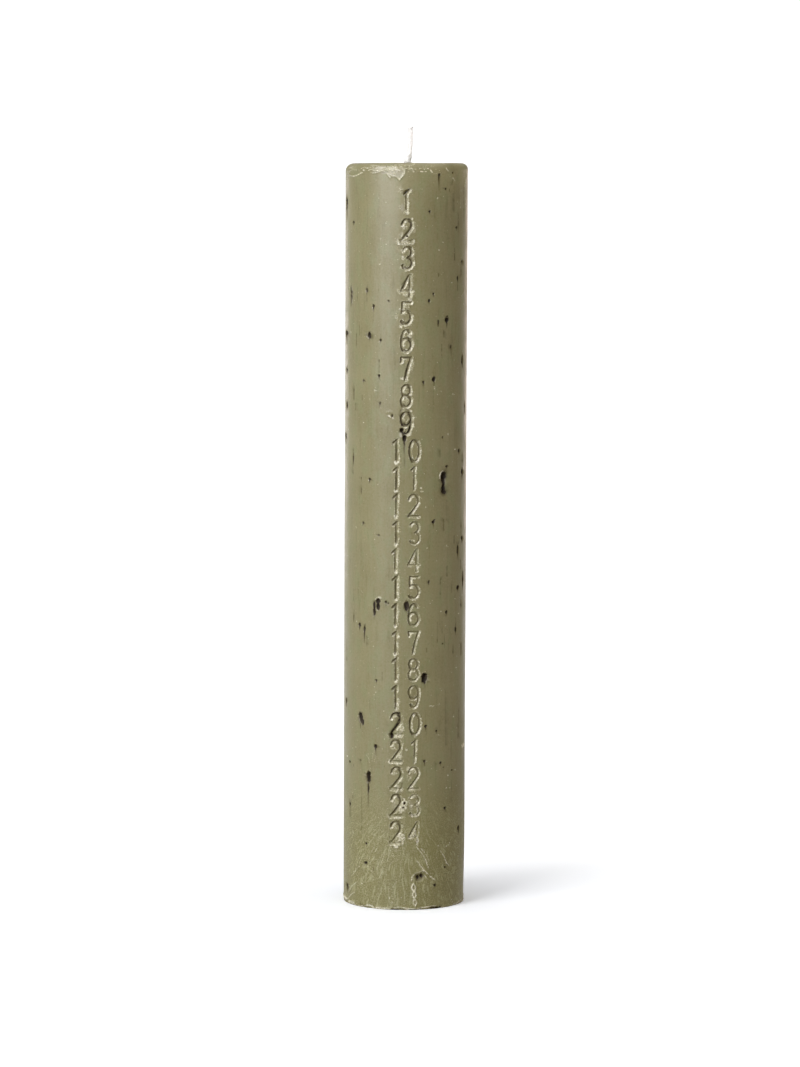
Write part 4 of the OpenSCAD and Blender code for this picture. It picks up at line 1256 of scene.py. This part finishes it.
def wax_material():
    """Dyed wax: olive with soft clouds, pale and crumbly on bruises and where highlights are painted, dark
    in its pits and where shade is painted, with bright specks and fine scratches, and frosted towards the
    foot."""
    material, tree, shader = new_material(
        "wax",
        Subsurface_Weight=0.05,
        Subsurface_Radius=(1.0, 0.9, 0.45),
        Subsurface_Scale=0.0006,
        IOR=1.44,
    )
    place = object_place(tree)
    height = parts_of(place)[2]
    clouds = noise_of(place, 16, 4, 0.55)
    blotches = noise_of(object_place(tree, (1, 1, 0.6)), 4.5, 3, 0.6)
    streaks = noise_of(object_place(tree, (1, 1, 0.10)), 1.3, 4, 0.6)
    grain = noise_of(place, 0.8, 3, 0.65)
    crumbs = noise_of(place, 0.45, 2, 0.7)
    flakes = noise_of(place, 0.7, 2, 0.65)
    dimples = noise_of(place, 1.5, 2, 0.6)
    frost, gaps = foot_frost(place, height)
    pale, dark, milky = (mask(tree, name) for name in ("pale", "dark", "milky"))
    bruised_and_highlit = (pale + crumbs.span(0.3, 0.7, -0.55, 0.38)).span(0.34, 0.62)
    bright = (pale + flakes.span(0.35, 0.65, -0.5, 0.32)).span(0.62, 0.9)
    specks = voronoi_dots(place, *SPECK_DOTS).at_least(0.6 * voronoi_dots(place, *FINE_DOTS))
    pocks = voronoi_dots(object_place(tree, (1, 1, 0.4)), *POCK_DOTS)
    streaks_and_shade = dark.span(0, 0.42, 0, 0.8).at_least(0.6 * pocks)
    pits_and_painted_shade = dark.span(0.42, 0.54)

    # From the wax's own colour outwards: how much of each tint covers what lies below it
    colour = mix(clouds.span(0.35, 0.68), WAX_DEEP, WAX)
    for share, tint in (
        (blotches.span(0.5, 0.6, 0, 0.6), WAX_GREEN),
        (streaks.span(0.45, 0.75, 0, 0.30), WAX_GREY),
        (streaks.span(0.42, 0.30, 0, 0.20), WAX_STREAK_AND_SHADE),
        (grain.span(0.50, 0.72, 0, 0.42), WAX_GREY),
        (grain.span(0.44, 0.28, 0, 0.22), WAX_STREAK_AND_SHADE),
        (height.span(FROST_TOP * MM, FROST_FULL * MM, 0, 0.9), WAX_FOOT),
        # Painted shade in the hollows between the frost's speckles
        (0.3 * gaps, WAX_STREAK_AND_SHADE),
        (0.72 * frost, WAX_FROST),
        (milky * flakes.span(0.3, 0.6, 0.5, 0.9), WAX_MILKY),
        # Painted shade in the hollows between crumbs of pale wax, where the crumbs' bumps are low
        (crumbs.span(0.44, 0.34) * pale.span(0.15, 0.45, 0, 0.55), WAX_STREAK_AND_SHADE),
        # The pale mask holds painted highlights as well as bruises, strokes and specks
        (bruised_and_highlit, WAX_BRUISE_AND_HIGHLIGHT),
        (0.6 * specks, WAX_PALE),
        (0.85 * bright, WAX_PALE),
        # The dark mask holds painted shade along the grooves and the foot's lowest line as well as pits and
        # scratches
        (streaks_and_shade, WAX_STREAK_AND_SHADE),
        (pits_and_painted_shade, WAX_DARK),
    ):
        colour = mix(share, colour, tint)

    rough = blotches.span(0.35, 0.65, 0.31, 0.42) + 0.2 * bruised_and_highlit.at_least(frost) + 0.35 * streaks_and_shade
    bumps = 0.45 * grain + 0.4 * streaks + 1.3 * frost + 2.4 * (crumbs * pale)
    bumps = bumps + 0.5 * specks + 0.55 * dimples
    dress(shader, colour, rough.at_least(0.9 * pits_and_painted_shade), bumps, 0.35, 0.22)
    return material


def cotton_material():
    """Bleached cotton soaked in white wax, with its fibres along the yarn."""
    material, tree, shader = new_material(
        "wick_cotton",
        Subsurface_Weight=1.0,
        Subsurface_Radius=(1.0, 1.0, 1.0),
        Subsurface_Scale=0.0025,
        IOR=1.44,
    )
    fibres = noise_of(object_place(tree, (1, 1, 0.35)), 0.2, 3, 0.6)
    clumps = noise_of(object_place(tree), 1.3, 3)
    colour = mix(fibres.span(0.35, 0.7), *COTTON)
    colour = mix(clumps.span(0.55, 0.8, 0, 0.3), colour, COTTON_ROSY)
    dress(shader, colour, clumps.span(0.3, 0.7, 0.5, 0.7), fibres, 0.25, 0.05)
    return material


def tin_material():
    """Tinned sheet steel with fine rolling lines and a few dull spots."""
    material, tree, shader = new_material("tinned_steel", Metallic=1.0)
    lines = noise_of(object_place(tree, (0.06, 1, 1)), 0.25, 3)
    spots = noise_of(object_place(tree), 3.0, 4, 0.6)
    rough = spots.span(0.35, 0.75, 0.26, 0.44) + 0.08 * lines
    dress(shader, mix(spots.span(0.4, 0.75), TIN, TIN_DULL), rough, lines, 0.2, 0.05)
    return material


# Wick

# The braid: a strand's thickness, how far the strands swing in x and y, the length of one round and
# how far into the wax it goes, how softly the strands meet and how far worn ones still reach
STRAND_D = 0.7
PLAIT_X, PLAIT_Y = 1.15 * STRAND_D, 0.67 * STRAND_D
BRAID_PITCH, BRAID_IN = 8, 4
STRAND_SOFT, WORN_SHARE = 0.17, 0.9
# The radius of the cord that the wax makes of the braid, the share of the braid's relief that is left
# on it, and the pitch and the relief of the twisted plies
CORD_R, BRAID_SHARE = 0.95, 0.28
PLY_STEP, PLY_RELIEF = 0.95, 0.008
# How far the tip leans to the right, and the share of the bare wick that bends
LEAN_SEEN, BEND_SHARE = 0.72, 0.7
# The flare where the wick leaves the wax: its height, and as shares of the radius how wide it is all
# round, how much wider at its left, how much narrower at its right, and its tufts
FLARE_H = 2.6
FLARE, FLARE_LEFT, FLARE_RIGHT, FLARE_TUFT = 0.34, 0.72, 0.42, 0.16
# How far down the cut tip opens, and by which shares of the radius all round and with its tufts
CUT_H, CUT_OPEN, CUT_TUFT = 1.6, 0.16, 0.12
# The wick's sides, the step between its rings, and its loose fibres with their radius
WICK_SIDES, RING_STEP = 48, 0.16
FIBRES, FIBRE_R = 24, 0.03
# How far below its tip the braid's last ring lies, and the rings that close the cut, as shares of it
TIP_DROP, CROWN_SHARES = 0.12, (0.72, 0.4)
# The small nub at the wick's right: aside of the wick's middle at a height above the top, its y and its
# height above the top, its radius and how far it leans
NUB_BESIDE = 6.1
NUB = (0.6, -0.5, 2.7)
NUB_R, NUB_LEAN = 0.4, 0.25


def wick_middle(z):
    """How far the wick's middle leans from the pillar's axis at each height."""
    out = np.clip((z - HEIGHT - MENISCUS_H) / (WICK_TOP - HEIGHT - MENISCUS_H), 0, 1)
    return WICK_X + LEAN_SEEN * np.sin(math.pi / 2 * np.minimum(1, out / BEND_SHARE))


def wick_radius(turn, z):
    """Reach of the waxed braid from its middle in each direction: three strands that cross, with
    their twisted plies, opened where the wick leaves the wax and where it was cut."""
    c, s = np.cos(turn), np.sin(turn)
    wound = 2 * math.pi * np.maximum(0, z - HEIGHT + BRAID_IN) / BRAID_PITCH
    reaches, plies = [], []
    for strand in range(3):
        t = math.radians(90 + 120 * strand) + wound
        x, y = PLAIT_X * np.sin(t), PLAIT_Y * np.sin(2 * t)
        reaches.append(x * c + y * s)
        plies.append(np.cos(2 * math.pi * z / PLY_STEP + 5 * (turn - np.arctan2(y, x))))
    reaches, plies = np.array(reaches), np.array(plies)
    weight = np.exp((reaches - reaches.max(0)) / STRAND_SOFT)
    weight /= weight.sum(0)
    ply = (weight * plies).sum(0)
    bare = smooth(HEIGHT - 1, HEIGHT + 1, z)
    braid = WORN_SHARE * ((weight * reaches).sum(0) + STRAND_D / 2)
    radius = CORD_R + BRAID_SHARE * (braid - CORD_R) + PLY_RELIEF * ply * bare
    above = z - HEIGHT - MENISCUS_H
    tuft = noise(np.stack([3 * c, 3 * s, z], 1), (1.0, 1.0, 1.6), 91, 3)
    flare = np.exp(-((np.maximum(0, above - 1.2) / FLARE_H) ** 2)) * bare
    aside = np.where(c < 0, FLARE_LEFT, FLARE_RIGHT) * c
    radius = radius * (1 + flare * (FLARE - aside + FLARE_TUFT * tuft))
    cut = smooth(WICK_TOP - CUT_H, WICK_TOP, z)
    return radius * (1 + cut * (CUT_OPEN + CUT_TUFT * tuft))


def tube(points, radii, sides):
    """Vertices and faces of a closed tube along points, with a radius at each."""
    along = np.gradient(points, axis=0)
    along /= np.linalg.norm(along, axis=1)[:, None]
    side = np.cross((0.3, 1, 0.2), along)
    side /= np.linalg.norm(side, axis=1)[:, None]
    front = np.cross(along, side)
    turns = 2 * math.pi * np.arange(sides) / sides
    rings = points[:, None] + radii[:, None, None] * (
        np.cos(turns)[None, :, None] * side[:, None] + np.sin(turns)[None, :, None] * front[:, None]
    )
    return rings.reshape(-1, 3), ring_faces(len(points), sides)


def ring_faces(rings, sides):
    """Faces of a closed tube made of rings of vertices."""
    faces = [
        (i * sides + k, i * sides + (k + 1) % sides, (i + 1) * sides + (k + 1) % sides, (i + 1) * sides + k)
        for i in range(rings - 1)
        for k in range(sides)
    ]
    faces.append(tuple(range(sides - 1, -1, -1)))
    faces.append(tuple((rings - 1) * sides + k for k in range(sides)))
    return faces


def braid_skin():
    """The braid from the sustainer to its cut tip, as one waxed skin: its points and faces."""
    bare = np.arange(HEIGHT - 1, WICK_TOP - TIP_DROP, RING_STEP)
    levels = np.concatenate([[WICK_FOOT], np.linspace(20, HEIGHT - 2, 12), bare])
    turns = 2 * math.pi * np.arange(WICK_SIDES) / WICK_SIDES
    z, turn = (part.ravel() for part in np.meshgrid(levels, turns, indexing="ij"))
    radius = wick_radius(turn, z)
    skin = np.stack([wick_middle(z) + radius * np.cos(turn), radius * np.sin(turn), z], 1)
    skin[-WICK_SIDES:, 2] += 0.12 * np.cos(3 * turns) + 0.08 * np.cos(7 * turns + 1)
    crown = skin[-WICK_SIDES:].copy()
    middle = np.array([wick_middle(WICK_TOP), 0, WICK_TOP - 0.25])
    rings = [skin]
    for share in CROWN_SHARES:
        ring = middle + (crown - middle) * share
        ring[:, 2] += 0.14 * np.cos(5 * turns + 9 * share)
        rings.append(ring)
    return np.concatenate(rings), ring_faces(len(levels) + len(CROWN_SHARES), WICK_SIDES)


def loose_fibre(draw):
    """A fibre that stands off the braid: near its foot, at its tip or anywhere along it."""
    turn = draw.uniform(0, 2 * math.pi)
    place = draw.random()
    if place < 0.45:
        z, length = HEIGHT + draw.uniform(1.2, 4.2), draw.uniform(0.5, 1.5)
    elif place < 0.7:
        z, length = WICK_TOP - draw.uniform(0.1, 1.2), draw.uniform(0.3, 0.8)
    else:
        z, length = HEIGHT + draw.uniform(4, 14), draw.uniform(0.2, 0.7)
    reach = 0.93 * wick_radius(np.array([turn]), np.array([z]))[0]
    start = np.array([wick_middle(z) + reach * math.cos(turn), reach * math.sin(turn), z])
    out = np.array([math.cos(turn), math.sin(turn), draw.uniform(-0.7, 1.2)])
    droop = np.array([draw.uniform(-0.5, 0.5), draw.uniform(-0.5, 0.5), draw.uniform(-0.9, 0.5)])
    t = np.linspace(0, 1, 5)[:, None]
    points = start + length * (0.55 * out * t + 0.45 * droop * t * t)
    points[:, 2] = np.minimum(points[:, 2], WICK_TOP - 0.02)
    return tube(points, FIBRE_R * (1.1 - t[:, 0]), 3)


def nub():
    """The small nub of wax at the wick's right."""
    t = np.linspace(-0.96, 0.96, 8)
    middle = np.array([wick_middle(HEIGHT + NUB_BESIDE) + NUB[0], NUB[1], HEIGHT + NUB[2]])
    spine = middle + np.stack([NUB_LEAN * t, 0 * t, NUB_R * t], 1)
    return tube(spine, NUB_R * np.sqrt(1 - t * t), 10)


def make_wick():
    """The braid, its loose fibres and the nub as one object."""
    draw = np.random.default_rng(300)
    parts = [braid_skin()] + [loose_fibre(draw) for _ in range(FIBRES)] + [nub()]
    points, faces, start = [], [], 0
    for part_points, part_faces in parts:
        points.append(part_points)
        faces.extend(tuple(start + k for k in face) for face in part_faces)
        start += len(part_points)
    return mesh_object("wick", np.concatenate(points), faces)


# Stage, lights and camera

LIGHT_TARGET = (0, 0, 0.15)
# Soft boxes: bearing from the camera's side and height angle in degrees, distance, width and height
# in metres, power in watts, colour, and whether it lights the colour and the gloss
SOFT_BOXES = [
    ("key", -42, 20, 2.3, 1.23, 1.9, 46.8, (1, 1, 1), True, False),
    ("sheen", -36, 30, 1.1, 0.8, 0.5, 27, (1.0, 0.98, 1.02), False, True),
    ("warm_fill", 80, -4, 0.8, 0.36, 0.24, 1.60, (1, 0.83, 0.71), True, False),
    ("left_back", -152, -2, 1.5, 0.5, 0.5, 1.3, (1, 0.90, 0.90), True, True),
    ("right_back", 158, -2, 1.5, 0.4, 0.5, 1.0, (1, 0.74, 0.62), True, True),
]
# Snooted spots on the wick alone: bearing and height angle, power in watts, colour, and in metres the
# beam's radius at the wick and the height of its middle; their distance in metres and their softness
WICK_SPOTS = [
    ("wick_right", 66, 10, 31, (1, 0.93, 0.92), 0.0125, 0.3095),
    ("wick_front", 8, 10, 5, (1, 0.98, 0.97), 0.0125, 0.3095),
    ("wick_foot", 46, 10, 20, (1, 0.93, 0.92), 0.0045, 0.3025),
]
SPOT_AWAY, SPOT_SOFT, SPOT_EDGE = 1.2, 0.02, 0.15
# How strongly the room lights the candle
ROOM_LIGHT = 0.08
# How much brighter the room is overhead, and where that begins and is full, as the sine of the height
ROOM_ABOVE, ABOVE_SPAN = 1.3, (0.5, 1.0)
# The room's gloss at its left and back, at its right, and between which parts of the way to the right
ROOM_GLOSS, RIGHT_GLOSS, GLOSS_SPAN = 0.50, 0.05, (0.25, 0.75)
GLOSS_TINT = (1.0, 0.95, 0.86)
# How brightly the camera sees the room and the far floor, and the floor by the candle with its tint,
# and how brightly the floor lights the candle. FLOOR_HALF is half the floor's width, in metres
SEEN_WHITE, FLOOR_SEEN, FLOOR_BOUNCE = 1.2, 1.15, 0.40
FLOOR_TINT = (0.98, 1.0, 1.04)
FLOOR_HALF = 12
# The floor's gloss at its left and its right, and how far out, in metres, it is one or the other
FLOOR_GLOSS, GLOSS_OUT = (0.85, 0.30), 0.15
# Its gloss behind the candle, between which distances it grows, in metres, and how much further back
# that is for each metre to the right
BACK_GLOSS, BACK_SPAN, BACK_NARROW = 0.95, (0.05, 0.40), 0.8
# Between which distances from a middle the floor fades to plain white, in metres
FLOOR_FADE, FADE_MIDDLE = (0.030, 0.19), (0.007, 0.006, 0)


def add_lamp(name, kind, power, colour, bearing, climb, away, target):
    """A light that faces a target from a distance, at a bearing from the camera's side and a height
    angle in degrees."""
    lamp = bpy.data.lights.new(name, kind)
    lamp.energy, lamp.color = power, colour
    made = add_object(name, lamp)
    turn, rise = math.radians(bearing), math.radians(climb)
    level = away * math.cos(rise)
    offset = Vector((level * math.sin(turn), -level * math.cos(turn), away * math.sin(rise)))
    made.location = Vector(target) + offset
    made.rotation_euler = (-offset).to_track_quat("-Z", "Y").to_euler()
    return made


def soft_light(name, bearing, climb, away, width, height, power, colour, lights, shines):
    """A rectangular soft box that faces the candle and that the camera doesn't see."""
    made = add_lamp(name, "AREA", power, colour, bearing, climb, away, LIGHT_TARGET)
    made.data.shape = "RECTANGLE"
    made.data.size, made.data.size_y = width, height
    made.visible_camera = False
    made.visible_diffuse = lights
    made.visible_glossy = shines


def wick_spot(name, bearing, climb, power, colour, beam_r, aim):
    """A narrow spot on the wick's stub, whose beam stays off the wax."""
    made = add_lamp(name, "SPOT", power, colour, bearing, climb, SPOT_AWAY, (WICK_X * MM, 0, aim))
    made.data.shadow_soft_size = SPOT_SOFT
    made.data.spot_size, made.data.spot_blend = 2 * math.atan(beam_r / SPOT_AWAY), SPOT_EDGE
    made.visible_glossy = False


def make_floor():
    """A white floor. The camera sees it brighter than it lights the candle, and it fades to plain
    white away from the candle."""
    corners = [(x * FLOOR_HALF, y * FLOOR_HALF, 0) for x, y in ((-1, -1), (1, -1), (1, 1), (-1, 1))]
    mesh = bpy.data.meshes.new("floor")
    mesh.from_pydata(corners, [], [(0, 1, 2, 3)])
    floor = add_object("floor", mesh)
    material = bpy.data.materials.new("floor")
    material.use_nodes = True
    mesh.materials.append(material)
    tree = material.node_tree
    tree.nodes.clear()
    seen, diffuse, glossy = (ray(tree, kind) for kind in ("Camera", "Diffuse", "Glossy"))
    bright = mix(seen, (FLOOR_BOUNCE,) * 3, tuple(FLOOR_SEEN * part for part in FLOOR_TINT))
    matt = value(tree, "ShaderNodeBsdfDiffuse", 0, {"Color": bright})
    place = value(tree, "ShaderNodeTexCoord", "Object")
    across, behind, _ = parts_of(place)
    back = (behind - across.at_least(0) * BACK_NARROW).span(*BACK_SPAN, 0, BACK_GLOSS)
    shine = across.span(-GLOSS_OUT, GLOSS_OUT, *FLOOR_GLOSS).at_least(back)
    lit = {"Color": (1, 1, 1, 1), "Strength": shine.at_least(seen * SEEN_WHITE)}
    white = value(tree, "ShaderNodeEmission", 0, lit)
    sockets = {0: place, 1: FADE_MIDDLE}
    centred = value(tree, "ShaderNodeVectorMath", "Vector", sockets, operation="SUBTRACT")
    away = value(tree, "ShaderNodeVectorMath", "Value", {0: centred}, operation="LENGTH")
    far = away.span(*FLOOR_FADE).at_least(glossy) * (1.0 - diffuse)
    both = value(tree, "ShaderNodeMixShader", 0, {0: far, 1: matt, 2: white})
    node(tree, "ShaderNodeOutputMaterial", {"Surface": both})


def make_room():
    """A white room, brighter overhead, whose gloss is weaker at its right."""
    world = bpy.data.worlds.new("white_room")
    world.use_nodes = True
    bpy.context.scene.world = world
    tree = world.node_tree
    tree.nodes.clear()
    seen, glossy = ray(tree, "Camera"), ray(tree, "Glossy")
    aside, _, up = parts_of(value(tree, "ShaderNodeTexCoord", "Generated"))
    above = up.span(*ABOVE_SPAN, 0, ROOM_ABOVE, interpolation_type="SMOOTHSTEP")
    shine = aside.span(*GLOSS_SPAN, ROOM_GLOSS, RIGHT_GLOSS)
    strength = (glossy.span(0, 1, ROOM_LIGHT, shine) + above).at_least(seen * SEEN_WHITE)
    sockets = {"Color": mix(glossy, (1, 1, 1), GLOSS_TINT), "Strength": strength}
    room = value(tree, "ShaderNodeBackground", 0, sockets)
    node(tree, "ShaderNodeOutputWorld", {"Surface": room})


def make_camera():
    """The photograph's view, from just below the level of the candle's top."""
    camera = bpy.data.cameras.new("camera")
    camera.sensor_width = 36
    camera.lens = FOCAL / PHOTO_H * camera.sensor_width
    camera.shift_y = CAMERA_SHIFT
    camera.clip_start, camera.clip_end = 0.05, 50
    made = add_object("camera", camera)
    made.location = (0, -CAMERA_DISTANCE * MM, CAMERA_HEIGHT * MM)
    made.rotation_euler = camera_turn().to_euler()
    bpy.context.scene.camera = made


def build():
    make_camera()
    make_floor()
    make_room()
    for box in SOFT_BOXES:
        soft_light(*box)
    for spot in WICK_SPOTS:
        wick_spot(*spot)
    bpy.context.scene.view_settings.view_transform = "Standard"

    skin = make_skin()
    skin.data.materials.append(wax_material())
    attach(skin, "root")
    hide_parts("wax_pillar")

    wick = make_wick()
    wick.data.materials.append(cotton_material())
    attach(wick, "root")
    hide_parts("wick_strand_1", "wick_strand_2", "wick_strand_3")

    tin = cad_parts["wick_sustainer"]
    tin.material_slots[0].material = tin_material()


build()
